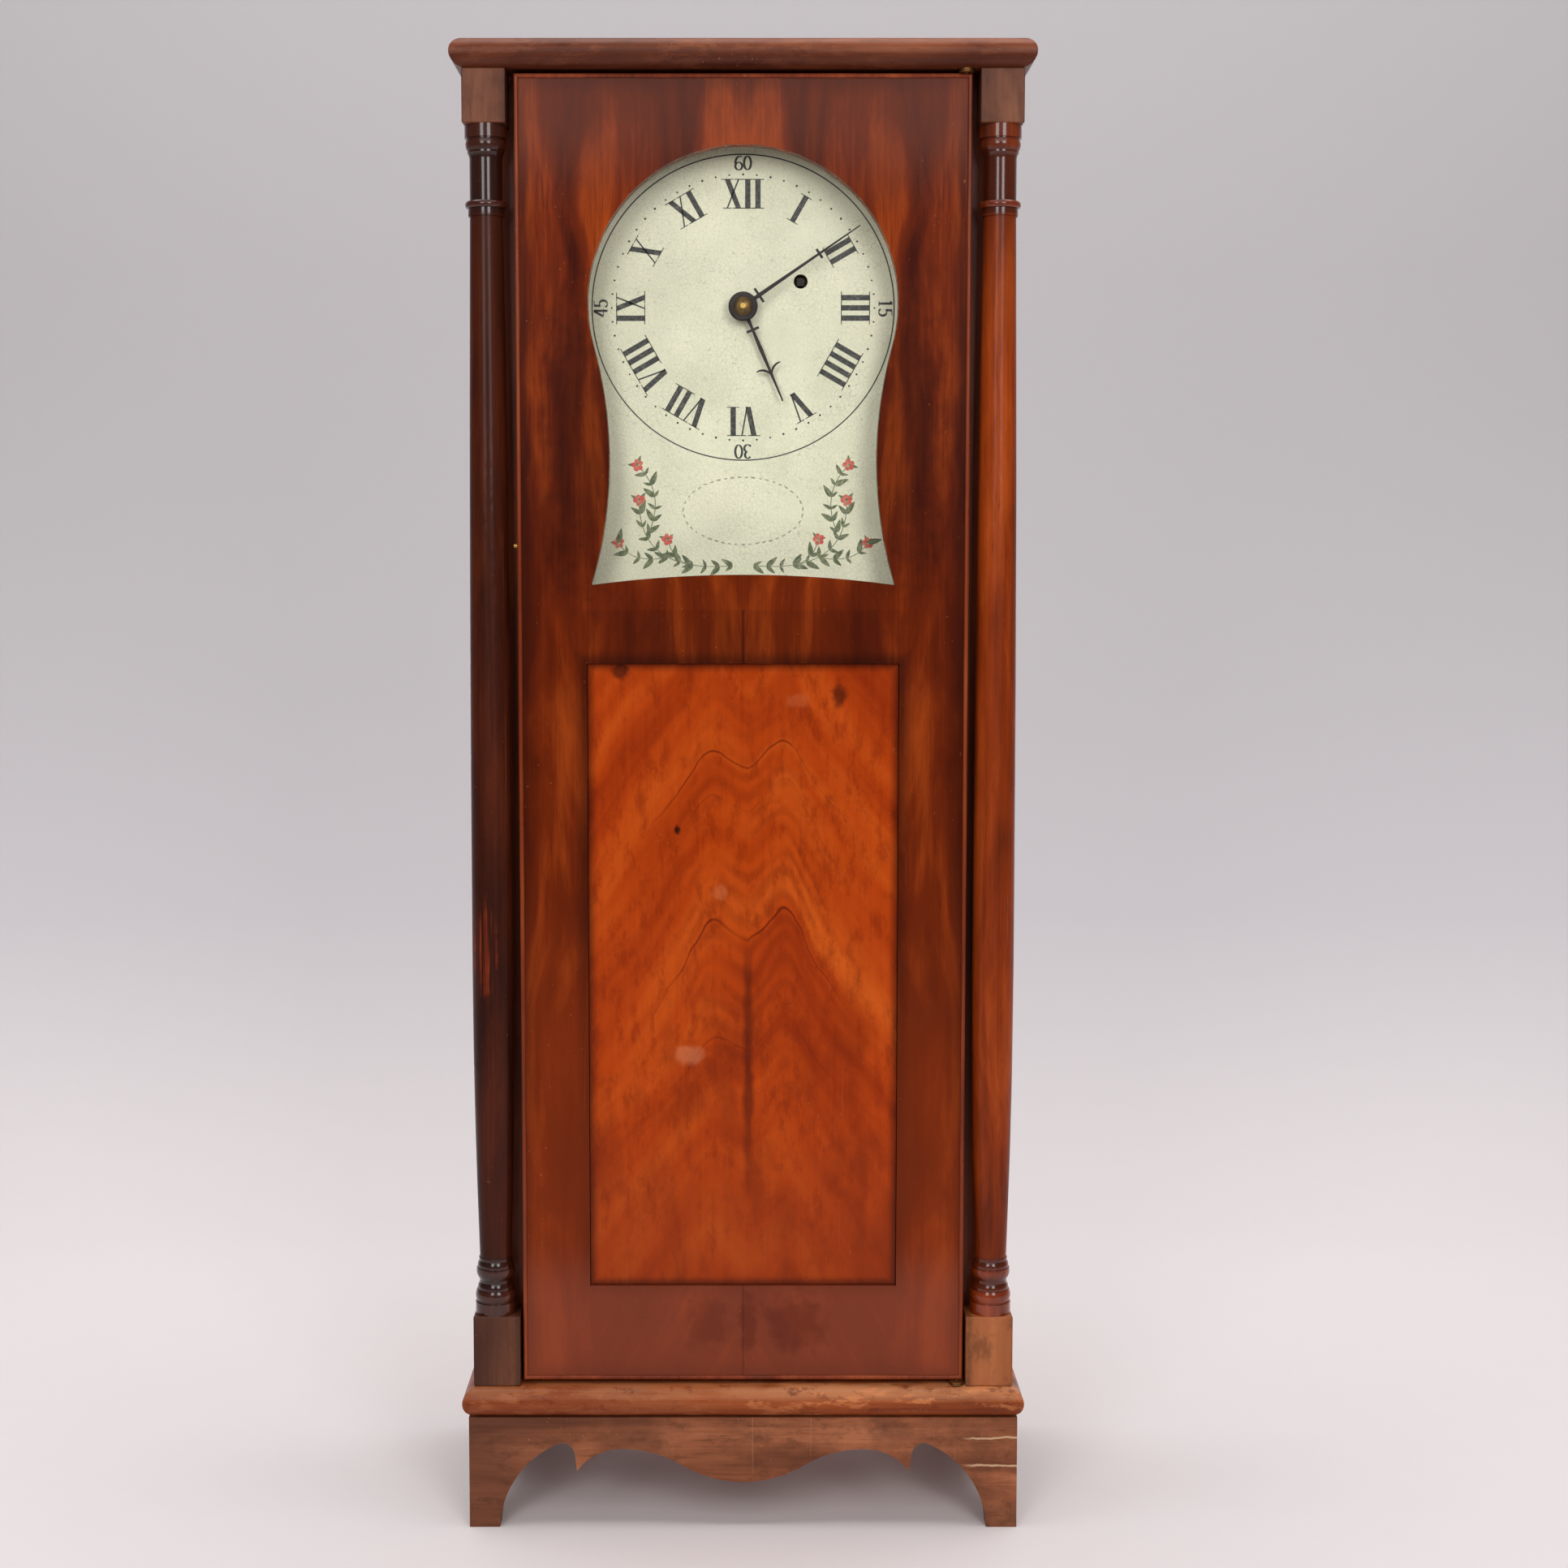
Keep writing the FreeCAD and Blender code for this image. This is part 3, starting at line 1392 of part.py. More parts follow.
screw_x = (side_in + side_out) / 2
screw_levels = [floor_z + 60 + i * (ceiling_z - floor_z - 120) / 3 for i in range(4)]
back_outside = back_inside + back_thick
back_screws = [
    wood_screw(sx * screw_x, back_outside, z, V(0, -1, 0)) for sx in (-1, 1) for z in screw_levels
]
seat_screw_x = side_in - cleat_size / 2
seat_screw_y = [seat_front + 14, seat_back - 14]
seat_screws = [
    wood_screw(sx * seat_screw_x, y, seat_top, V(0, 0, -1)) for sx in (-1, 1) for y in seat_screw_y
]
place("wood_screws", *back_screws, *seat_screws)
screw_holes = {
    "backboard": back_screws,
    "case_sides": back_screws,
    "seat_board": seat_screws,
    "seat_cleats": seat_screws,
}
for node, screws in screw_holes.items():
    parts[node] = [solid for shape in parts[node] for solid in shape.cut(screws).Solids]

os.makedirs("parts", exist_ok=True)
for node, solids in parts.items():
    shape = solids[0] if len(solids) == 1 else Part.makeCompound(solids)
    shape.exportStep("parts/" + node + ".step")
print(len(parts), "nodes,", sum(len(solids) for solids in parts.values()), "solids")
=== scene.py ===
# %% [markdown]
# # A shelf clock in a tall mahogany case
# The clock stands about 84 cm high: a flat top board, a veneered door between two turned columns, a painted
# dial behind glass, and a base board on bracket feet. The solids and their joints are already packed as a
# frame. This script gives them wood, paint, metal and glass, and adds what paint and fine craft put on top.

# %% Load the frame
import json
import math
from types import SimpleNamespace

import bmesh
import bpy
from mathutils import Matrix, Vector


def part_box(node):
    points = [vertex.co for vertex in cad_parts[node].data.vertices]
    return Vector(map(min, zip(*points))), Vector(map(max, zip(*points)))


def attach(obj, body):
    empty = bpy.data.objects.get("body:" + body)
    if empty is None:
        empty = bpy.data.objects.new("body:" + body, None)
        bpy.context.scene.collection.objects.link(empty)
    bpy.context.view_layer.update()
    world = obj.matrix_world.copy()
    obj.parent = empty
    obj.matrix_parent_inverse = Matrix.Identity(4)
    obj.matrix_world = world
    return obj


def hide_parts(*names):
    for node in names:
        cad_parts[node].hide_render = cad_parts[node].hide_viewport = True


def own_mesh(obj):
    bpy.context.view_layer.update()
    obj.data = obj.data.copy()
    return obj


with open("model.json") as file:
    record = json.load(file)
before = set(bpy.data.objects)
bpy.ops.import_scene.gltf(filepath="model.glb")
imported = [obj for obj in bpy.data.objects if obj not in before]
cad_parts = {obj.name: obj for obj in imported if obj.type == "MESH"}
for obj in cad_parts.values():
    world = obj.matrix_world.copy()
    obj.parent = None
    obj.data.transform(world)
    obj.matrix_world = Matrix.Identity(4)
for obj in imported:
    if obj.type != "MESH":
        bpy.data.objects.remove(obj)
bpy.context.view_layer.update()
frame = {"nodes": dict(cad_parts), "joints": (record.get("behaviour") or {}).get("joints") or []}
nodes = frame["nodes"]
scene = bpy.context.scene
scene.view_settings.view_transform = "Standard"

# %% [markdown]
# ## Small tools for building node trees
# Every finish below is a tree of nodes. Typing each node and link by hand is long, so a few tools do it. A
# Value stands for a node's output and knows its tree, so a sum written in Python adds the nodes that work it
# out. Where an input is given a number, the number is set on the socket, and a Value is linked to it.


# %% Values and the nodes behind them
class Value:
    """The output of a node. Arithmetic with it adds Math nodes to its tree."""

    def __init__(self, socket):
        self.tree, self.socket = socket.id_data, socket

    def __add__(self, other):
        return step("ADD", self, other)

    def __sub__(self, other):
        return step("SUBTRACT", self, other)

    def __mul__(self, other):
        return step("MULTIPLY", self, other)

    def __truediv__(self, other):
        return step("DIVIDE", self, other)

    def __abs__(self):
        return step("ABSOLUTE", self)


def fill(sockets, values):
    """Links each Value to its socket and sets anything else on it. Underscores stand for spaces."""
    for name, value in values.items():
        socket = sockets[name.replace("_", " ") if isinstance(name, str) else name]
        if isinstance(value, Value):
            value.tree.links.new(value.socket, socket)
        else:
            socket.default_value = value


def put(kind, inputs, tree=None, **settings):
    """Adds a node to a tree, or to that of its inputs. Its settings come first: they decide its sockets."""
    tree = tree or next(value.tree for value in inputs.values() if isinstance(value, Value))
    node = tree.nodes.new(kind)
    for name, value in settings.items():
        setattr(node, name, value)
    fill(node.inputs, inputs)
    return node


def add(kind, inputs, output=0, tree=None, **settings):
    """Adds a node and gives one of its outputs."""
    return Value(put(kind, inputs, tree, **settings).outputs[output])


def step(operation, *values):
    """One step of arithmetic."""
    return add("ShaderNodeMath", dict(enumerate(values)), operation=operation)


print("values ready")


# %% Steps that the finishes are made of
def srgb(red, green, blue):
    """A colour as a paint card gives it, 0 to 255, in linear light."""
    def linear(level):
        share = level / 255
        return share / 12.92 if share <= 0.04045 else ((share + 0.055) / 1.055) ** 2.4

    return (linear(red), linear(green), linear(blue), 1.0)


def fade(value, low, high):
    """0 at low, 1 at high and beyond, with a soft run between. Low may be above high."""
    inputs = {"Value": value, "From Min": low, "From Max": high}
    return add("ShaderNodeMapRange", inputs, interpolation_type="SMOOTHSTEP")


def stretch(vector, scale, move=(0, 0, 0), turn=(0, 0, 0)):
    """Coordinates pulled out, shifted or turned."""
    inputs = {"Vector": vector, "Location": move, "Rotation": turn, "Scale": scale}
    return add("ShaderNodeMapping", inputs)


def noise(vector, scale, detail=3.0, roughness=0.5, distortion=0.0):
    """Soft random cloud, 0 to 1. Three scales stretch it along the axes."""
    if isinstance(scale, tuple):
        vector, scale = stretch(vector, scale), 1.0
    inputs = {"Vector": vector, "Scale": scale, "Detail": detail}
    inputs.update({"Roughness": roughness, "Distortion": distortion})
    return add("ShaderNodeTexNoise", inputs)


def mix(share, first, second):
    """One colour laid over another."""
    return add("ShaderNodeMix", {0: share, 6: first, 7: second}, 2, data_type="RGBA")


def ramp(value, *stops):
    """A run of colours, each at its place from 0 to 1."""
    node = put("ShaderNodeValToRGB", {0: value})
    elements = node.color_ramp.elements
    elements.remove(elements[1])
    elements[0].position, elements[0].color = stops[0]
    for place, colour in stops[1:]:
        elements.new(place).color = colour
    return Value(node.outputs[0])


def axes(vector):
    """The X, Y and Z of a vector."""
    return [Value(socket) for socket in put("ShaderNodeSeparateXYZ", {0: vector}).outputs]


def joined(x, y, z):
    """A vector from its X, Y and Z."""
    return add("ShaderNodeCombineXYZ", {0: x, 1: y, 2: z})


print("middle grey of a paint card in linear light:", round(srgb(128, 128, 128)[0], 3))


# %% Trees, groups and materials
def by_name(sockets):
    return {socket.name: Value(socket) for socket in sockets}


def new_tree(name, kind, inputs, outputs):
    """A tree with named sockets. Each has its kind, or a number if it is a float that starts there."""
    tree = bpy.data.node_groups.new(name, kind)
    for way, sockets in (("INPUT", inputs), ("OUTPUT", outputs)):
        for label, value in sockets.items():
            sort = value if isinstance(value, str) else "Float"
            socket = tree.interface.new_socket(label, in_out=way, socket_type="NodeSocket" + sort)
            if value != sort:
                socket.default_value = value
    entry = by_name(tree.nodes.new("NodeGroupInput").outputs)
    return tree, entry, tree.nodes.new("NodeGroupOutput").inputs


def new_group(name, inputs, *outputs):
    """A shader group that takes a place and some sizes, and gives values that vary over the surface."""
    return new_tree(name, "ShaderNodeTree", {"Vector": "Vector", **inputs}, dict.fromkeys(outputs, "Float"))


def use(group, vector, *sizes):
    """Places a group in a material, with its sizes in their order."""
    return by_name(put("ShaderNodeGroup", dict(enumerate((vector, *sizes))), node_tree=group).outputs)


def new_material(name, **values):
    """A material with its shader's inputs and the place on the object in metres."""
    material = bpy.data.materials.new(name)
    material.use_nodes = True
    shader = material.node_tree.nodes["Principled BSDF"].inputs
    fill(shader, values)
    place = add("ShaderNodeTexCoord", {}, "Object", material.node_tree)
    return SimpleNamespace(material=material, shader=shader, place=place, colour=None)


def paint(made, mask, shade, strength):
    """Lays a shade over a material's colour where a mask says, with a strength from 0 to 1."""
    made.colour = mix(mask * strength, made.colour, srgb(*shade))


def bump(made, height, strength, depth):
    """Small hills on the surface, depth metres from valley to top."""
    inputs = {"Height": height, "Strength": strength, "Distance": depth}
    fill(made.shader, {"Normal": add("ShaderNodeBump", inputs)})


def dress(material, *names):
    """Gives a finish to solids of the frame."""
    for name in names:
        slots = nodes[name].data.materials
        slots.clear()
        slots.append(material)


print("tools ready for", len(nodes), "nodes")

# %% [markdown]
# ## Effects that several finishes share
# Wood, paint and metal on an old clock have a few things in common: figure that runs along the grain, thin
# scratches, smudges in the polish, cracks in paint, and tarnish. Each is one shader group. They give masks
# only, and each material decides what colour or gloss a mask stands for.

# %% Wood figure along Z
wood_figure, entry, leave = new_group(
    "Wood Figure", {"Band Scale": 24.0, "Run": 0.14}, "Band", "Streak", "Pores"
)
spot = entry["Vector"]
x, y, z = axes(spot)
sway = noise(spot, (9, 9, 5)) - 0.5
band_way = joined(sway * 0.035 + x, y, z * entry["Run"])
fibre_way = joined(sway * 0.006 + x, y, z * 0.018)
fill(leave, {
    "Band": noise(band_way, entry["Band Scale"], 4.0, 0.55, 0.5),
    "Streak": noise(fibre_way, 420.0, 5.0, 0.6),
    "Pores": fade(noise(spot, (1700, 1700, 70), 2.0), 0.60, 0.72),
})
print(wood_figure.name, "has", len(wood_figure.nodes), "nodes")

# %% Scratches, smudges and specks of wear
board_wear, entry, leave = new_group("Board Wear", {"Amount": 0.5}, "Scratches", "Smudge", "Specks")
spot = entry["Vector"]
scored = None
for angle in (12, -31, 78):
    run = stretch(spot, (700, 500, 9), turn=(0, math.radians(angle), 0))
    line = fade(noise(run, 1.0, 1.0), 0.735, 0.80)
    scored = line if scored is None else step("MAXIMUM", scored, line)
patch = fade(noise(spot, 13.0, 2.0), 0.42, 0.68)
fill(leave, {
    "Scratches": scored * patch * entry["Amount"],
    "Smudge": noise(spot, 21.0, 5.0, 0.65),
    "Specks": fade(noise(spot, 430.0, 2.0), 0.70, 0.78) * patch,
})
print(board_wear.name, "has", len(board_wear.nodes), "nodes")

# %% Cracked paint
cracked_paint, entry, leave = new_group("Cracked Paint", {"Cell": 260.0}, "Crack", "Cup")
spot = entry["Vector"]
wobble = add("ShaderNodeTexNoise", {"Vector": spot, "Scale": 190.0, "Detail": 3.0}, "Color")
wobble_reach = (0.0035, 0.0035, 0.0035)
shifted = add("ShaderNodeVectorMath", {0: wobble, 1: wobble_reach, 2: spot}, operation="MULTIPLY_ADD")
sizes = {"Vector": shifted, "Scale": entry["Cell"]}
cells = add("ShaderNodeTexVoronoi", sizes, feature="DISTANCE_TO_EDGE")
width = noise(spot, 34.0) * 0.11 - 0.012
fill(leave, {"Crack": fade(cells, width, 0.0), "Cup": fade(cells, 0.0, 0.35)})
print(cracked_paint.name, "has", len(cracked_paint.nodes), "nodes")

# %% Tarnish on metal
tarnish, entry, leave = new_group("Tarnish", {"Scale": 60.0}, "Film", "Spots", "Brushed")
spot = entry["Vector"]
fill(leave, {
    "Film": noise(spot, entry["Scale"], 5.0, 0.6),
    "Spots": fade(noise(spot, entry["Scale"] * 9.0, 2.0), 0.62, 0.75),
    "Brushed": noise(spot, (160, 160, 2600), 2.0),
})
print(tarnish.name, "has", len(tarnish.nodes), "nodes")

# %% Distance from an upright rectangle, and a ragged round mark
rectangle = {"Left": -0.1, "Right": 0.1, "Bottom": 0.0, "Top": 0.2}
frame_distance, entry, leave = new_group("Frame Distance", rectangle, "Distance")
x, y, z = axes(entry["Vector"])
side_way = step("MAXIMUM", entry["Left"] - x, x - entry["Right"])
up_way = step("MAXIMUM", entry["Bottom"] - z, z - entry["Top"])
fill(leave, {"Distance": step("MAXIMUM", side_way, up_way)})

oval_place = {"X": 0.0, "Z": 0.0, "Half Width": 0.01, "Half Height": 0.01, "Ragged": 0.6}
round_mark, entry, leave = new_group("Round Mark", oval_place, "Mask")
x, y, z = axes(entry["Vector"])
wide = (x - entry["X"]) / entry["Half Width"]
tall = (z - entry["Z"]) / entry["Half Height"]
away = step("SQRT", wide * wide + step("POWER", tall, 2.0))
torn = noise(entry["Vector"], 120.0, 4.0) - 0.5
fill(leave, {"Mask": fade(torn * entry["Ragged"] + away, 1.0, 0.35)})


def outside(made, left, right, bottom, top):
    """Distance from an upright rectangle, less than 0 inside it."""
    return use(frame_distance, made.place, left, right, bottom, top)["Distance"]


def mark(made, x, z, half_width, half_height, ragged):
    """A ragged round mark, 1 in its middle."""
    return use(round_mark, made.place, x, z, half_width, half_height, ragged)["Mask"]


print("shared effects:", [group.name for group in bpy.data.node_groups])

# %% [markdown]
# ## Mahogany
# The case is mahogany under old varnish: broad soft bands, fine fibres along the grain and short dark pores.
# One function starts any such board. The grain runs along X, Y or Z, and on the door it is mirrored about the
# middle, as two leaves of veneer cut from one block and opened like a book. A second function lays out three
# shades, and a third sets gloss and bump, so that each board only chooses its shades and marks of wear.

# %% Start and finish of a mahogany board
grain_turn = {"x": (0, math.pi / 2, 0), "y": (math.pi / 2, 0, 0), "z": (0, 0, 0)}
pore_share = 0.45
worn_share = 0.55
worn_dull = 0.3
pore_depth = -0.7
fibre_relief = 0.0002
# Dark brown for soot and dirt, and for painted shade where parts meet.
soot_and_painted_shade = (26, 9, 6)


def wood(name, grain="z", mirrored=False, lean=0.0, seed=0.0, band_scale=24.0, run=0.14, amount=0.5,
         sheen=0.16, **values):
    """A varnished board, before its colours."""
    made = new_material(name, Coat_Roughness=0.12, Specular_IOR_Level=sheen, **values)
    spot = made.place
    if mirrored:
        x, y, z = axes(spot)
        spot = joined(abs(x), y, z)
    turn = Vector(grain_turn[grain]) + Vector((0, math.radians(lean), 0))
    run_way = stretch(spot, (1, 1, 1), (seed, 0.3 * seed, seed), turn)
    effects = {**use(wood_figure, run_way, band_scale, run), **use(board_wear, made.place, amount)}
    vars(made).update({name.lower(): value for name, value in effects.items()})
    return made


def figured(made, dark, middle, light, streak_share=0.4, low=0.34, high=0.68):
    """Three shades laid out by the broad bands and the fine fibres, with dark pores."""
    tone = made.streak * streak_share + made.band * (1 - streak_share)
    stops = ((low, dark), ((low + high) / 2, middle), (high, light))
    made.colour = ramp(tone, *((place, srgb(*shade)) for place, shade in stops))
    paint(made, made.pores, dark, pore_share)


def varnished(made, gloss=0.27, spread=0.22, worn=(176, 112, 70), relief=0.25):
    """Varnish over the wood: scratches and specks show paler, smudges change the gloss."""
    marks = step("MAXIMUM", made.scratches, made.specks) * worn_share
    rough = marks * worn_dull + (made.smudge * spread + (gloss - spread / 2))
    fill(made.shader, {"Base Color": mix(marks, made.colour, srgb(*worn)), "Roughness": rough})
    low = made.pores * pore_depth + made.streak
    bump(made, low - made.scratches, relief, fibre_relief)
    return made.material


print("grain can run along", sorted(grain_turn))

# %% [markdown]
# ## The door's frame
# Stiles, rails and the board round the dial carry dark red veneer with upright flames. Where the door meets
# its panel and along the bead the frame is darkened as painted shade, and beside the waist of the dial opening
# it has darker patches. The middle and bottom rails have a seam, and the bottom one's veneer leans away from it
# and has a few dark plumes. The top of the frame is greyer and hazier as a painted reflection, below the panel
# it is paler and hazier as a painted reflection too, and it is redder at the foot.

# %% Door veneer
panel_low, panel_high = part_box("door_panel")
rail_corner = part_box("door_bottom_rail")[1]
sight, field_bottom = rail_corner.x, rail_corner.z
field_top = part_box("door_middle_rail")[0].z
field = (-sight, sight, field_bottom, field_top)
door_low, door_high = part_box("door_bead")
dial_low, dial_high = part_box("dial_plate")
collet_low, collet_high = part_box("hand_collet")
dial_centre = (collet_low.z + collet_high.z) / 2
waist_x, waist_z = 0.089, dial_centre - 0.075
plume_z = (door_low.z + field_bottom) / 2 + 0.006
plumes = ((0.03, 0.022, 0.5), (-0.02, 0.018, 0.35), (0.003, 0.007, 0.5))


def door_veneer(name, lean=0.0, seed=0.0, seam=0.0, low_tone=(106, 36, 9)):
    made = wood(name, mirrored=True, lean=lean, seed=seed, band_scale=44.0, run=0.2, sheen=0.05,
                Coat_Weight=0.05)
    figured(made, (70, 19, 5), (118, 41, 10), (180, 76, 22), 0.18, 0.36, 0.66)
    x, y, z = axes(made.place)
    paint(made, fade(z, 0.60, 0.53), low_tone, 0.4)
    paint(made, fade(noise(made.place, (30, 30, 9)), 0.42, 0.7), (66, 18, 6), 0.45)
    # Painted shade: the frame is darker within 9 mm of the panel.
    paint(made, fade(outside(made, *field), 0.009, 0.0), soot_and_painted_shade, 0.55)
    # Painted shade: the frame is darker within 14 mm of its outer edge, along the bead.
    rim = outside(made, door_low.x, door_high.x, door_low.z, door_high.z)
    paint(made, fade(rim, -0.014, -0.002), soot_and_painted_shade, 0.5)
    for side in (-1, 1):
        paint(made, mark(made, side * waist_x, waist_z, 0.03, 0.11, 0.9), soot_and_painted_shade, 0.42)
    paint(made, fade(z, 0.42, 0.2), (176, 70, 22), 0.22)
    # Painted reflection: the top of the frame is greyer and hazier, as a lamp above would show in the varnish.
    paint(made, fade(z, 0.74, 0.80), (132, 86, 74), 0.35)
    # Painted reflection: paler and hazier below the panel, as the floor would show in the varnish.
    paint(made, fade(z, field_bottom + 0.03, field_bottom - 0.01), (134, 70, 52), 0.55)
    if seam:
        paint(made, made.smudge, soot_and_painted_shade, seam)
        for plume_x, half_width, strength in plumes:
            paint(made, mark(made, plume_x, plume_z, half_width, 0.022, 1.3), (86, 34, 22), strength)
        paint(made, fade(abs(x), 0.0011, 0.0003), soot_and_painted_shade, 1.6 * seam)
    return varnished(made, 0.26, 0.16, relief=0.1)


dress(door_veneer("Mahogany door veneer", seed=0.52), "door_stile_left", "door_stile_right", "door_top_rail",
      "dial_surround")
dress(door_veneer("Mahogany middle rail", seed=0.52, seam=0.3), "door_middle_rail")
dress(door_veneer("Mahogany bottom rail", lean=28, seed=0.29, seam=0.15, low_tone=(128, 54, 30)),
      "door_bottom_rail")

bead_wood = wood("Mahogany bead", seed=0.6, Coat_Weight=0.2)
figured(bead_wood, (80, 28, 10), (130, 52, 21), (168, 80, 38), 0.3)
dress(varnished(bead_wood, 0.3), "door_bead")
print("door frame from", field_bottom, "to", field_top)

# %% [markdown]
# ## The figured panel
# The lower panel is the showpiece: veneer from the fork of the tree, bright orange, where the grain climbs in
# two humps with a valley between. A height field makes it. Take the height z, subtract two humps across the
# board, and lines of equal value bend as the grain does. Colour bands, a few thin dark lines and soft narrow
# bands follow it, and below the fork runs a dark streak. Knots and pale scuffs come last.

# %% Panel veneer
fork_x = 0.003
hump_x, hump_half = 0.022, 0.015
hump_rise, hump_gain = 0.03, 0.2
arch_bend = 9.0
grain_lines = ((0.425, 0.6), (0.324, 0.7), (0.398, 0.25), (0.262, 0.3))
fine_pitch = 0.0125
knots_and_scuffs = (
    (-0.0374, 0.402, 0.0024, 0.0034, (48, 14, 6), 0.95),
    (-0.0695, 0.491, 0.0075, 0.0060, (60, 18, 8), 0.75),
    (0.0544, 0.477, 0.0060, 0.0080, (66, 20, 8), 0.75),
    (-0.0314, 0.2732, 0.0110, 0.0066, (214, 134, 92), 0.38),
    (-0.0130, 0.3665, 0.0050, 0.0052, (206, 124, 80), 0.25),
    (0.0310, 0.4750, 0.0100, 0.0050, (206, 112, 66), 0.25),
)

made = wood("Figured panel", seed=0.9, band_scale=16.0, amount=0.35, sheen=0.06, Coat_Weight=0.08)
spot = made.place
x, y, z = axes(spot)
cloud = noise(spot, (11, 11, 7), 2.0) - 0.5
ripple = noise(spot, 44.0, 2.0) - 0.5
off = abs(x - fork_x)
from_hump = (off - hump_x) / hump_half
hump = ((x - fork_x) * hump_gain + hump_rise) / (from_hump * from_hump + 1.0)
grain = ripple * 0.011 + (cloud * 0.062 + (off * off * arch_bend + z - hump))
broad = noise(joined(x * 7.0, 0.0, grain * 25.0), 1.0)
tone = made.streak * 0.12 + broad * 0.88
made.colour = ramp(tone, (0.30, srgb(146, 44, 6)), (0.5, srgb(184, 67, 12)), (0.72, srgb(210, 92, 25)))
mottle = noise(spot, (150, 150, 60), 5.0, 0.7)
paint(made, fade(mottle, 0.46, 0.7), (130, 38, 6), 0.55)
stained = fade(noise(spot, (34, 34, 15), 4.0, 0.6), 0.46, 0.68)
paint(made, stained * fade(z, 0.36, 0.24), (116, 36, 8), 0.5)
shown = fade(noise(spot, 21.0, 2.0), 0.40, 0.55) * fade(off, 0.066, 0.03)
for level, strength in grain_lines:
    paint(made, fade(abs(grain - level), 0.0012, 0.0003) * shown, (74, 20, 6), strength)
fine_band = fade(abs(step("FRACT", grain / fine_pitch) - 0.5), 0.42, 0.08)
in_fork = mark(made, 0.006, 0.36, 0.06, 0.14, 0.9)
paint(made, fine_band * (in_fork * shown), (132, 42, 6), 0.4)
streak = fade(ripple * 0.006 + off, 0.0042, 0.0008) * fade(z, 0.345, 0.315) * fade(z, 0.185, 0.24)
paint(made, streak, (80, 24, 8), 0.62)
for mark_x, mark_z, half_width, half_height, shade, strength in knots_and_scuffs:
    paint(made, mark(made, mark_x, mark_z, half_width, half_height, 1.3), shade, strength)
paint(made, fade(z, 0.27, 0.14), (132, 48, 14), 0.5)
# Painted shade: the panel is darker within 6 mm of its edge, under the frame.
paint(made, fade(outside(made, *field), -0.006, -0.0003), soot_and_painted_shade, 0.6)
dress(varnished(made, 0.27, 0.16, relief=0.06), "door_panel")
print("panel", (panel_high - panel_low)[:])

# %% [markdown]
# ## Boards, columns and feet
# The top and base boards have a rounded nose that is paler along its top, rubbed by hands and with a painted
# highlight, and darker toward its underside as painted shade, with bare and grimy patches near the front; the
# base board has kept more of its varnish at the left. The columns are turned from darker wood, the left one
# darker than the right, partly in tone and partly as painted shade, and their grooves are darker with dirt and
# painted shade. The apron and its bracket feet have lost most of their varnish, so they are paler, browner and
# duller, and the right foot has split along the grain. The lower blocks and the feet are darker at the left,
# and the lower right block paler, as painted light.

# %% Top and base boards
scuffed_wood = (190, 130, 90)


def case_board(name, grain, seed, dark, middle, light, gloss, edge=None, rubbed=(150, 88, 58), share=0.35,
               kept=0.0, patchy=0.3):
    made = wood(name, grain=grain, seed=seed, band_scale=34.0, amount=0.8, Coat_Weight=0.05)
    figured(made, dark, middle, light, 0.25)
    if edge:
        low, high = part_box(edge)
        x, y, z = axes(made.place)
        near_top = fade(z, high.z - 0.009, high.z - 0.001)
        near_front = fade(y, low.y + 0.02, low.y + 0.004)
        ragged = fade(noise(made.place, (30, 90, 90), 4.0), 0.3, 0.6)
        # Wear with a painted highlight: the top of the nose near the front is paler.
        paint(made, near_top * near_front * ragged, rubbed, share)
        handled = near_front * 0.85 + 0.15
        bare = fade(noise(made.place, (45, 90, 160), 6.0, 0.7), 0.52, 0.62)
        paint(made, bare * handled, light, patchy)
        grimed = fade(noise(made.place, (60, 90, 110), 6.0, 0.7), 0.54, 0.64)
        paint(made, grimed * handled, dark, patchy)
        # Painted shade: the board turns darker toward its underside.
        paint(made, fade(z, high.z - 0.006, low.z + 0.004), dark, 0.5)
        paint(made, fade(x, 0.06, -0.07), (112, 48, 24), kept)
    return varnished(made, gloss, 0.25, worn=scuffed_wood)


dress(case_board("Mahogany top board", "x", 0.2, (64, 24, 13), (120, 62, 38), (160, 92, 58), 0.36,
                 "top_board"), "top_board")
dress(case_board("Mahogany base board", "x", 0.5, (104, 41, 14), (172, 86, 38), (222, 138, 84), 0.38,
                 "base_board", (214, 146, 98), 0.7, 0.55, 0.65), "base_board")
dress(case_board("Mahogany case sides", "z", 0.8, (60, 22, 10), (106, 44, 20), (146, 70, 34), 0.36),
      "case_sides", "face_frame")

# %% Columns and their blocks
column_low, column_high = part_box("column_right")
column_x = (column_low.x + column_high.x) / 2
column_y = (column_low.y + column_high.y) / 2


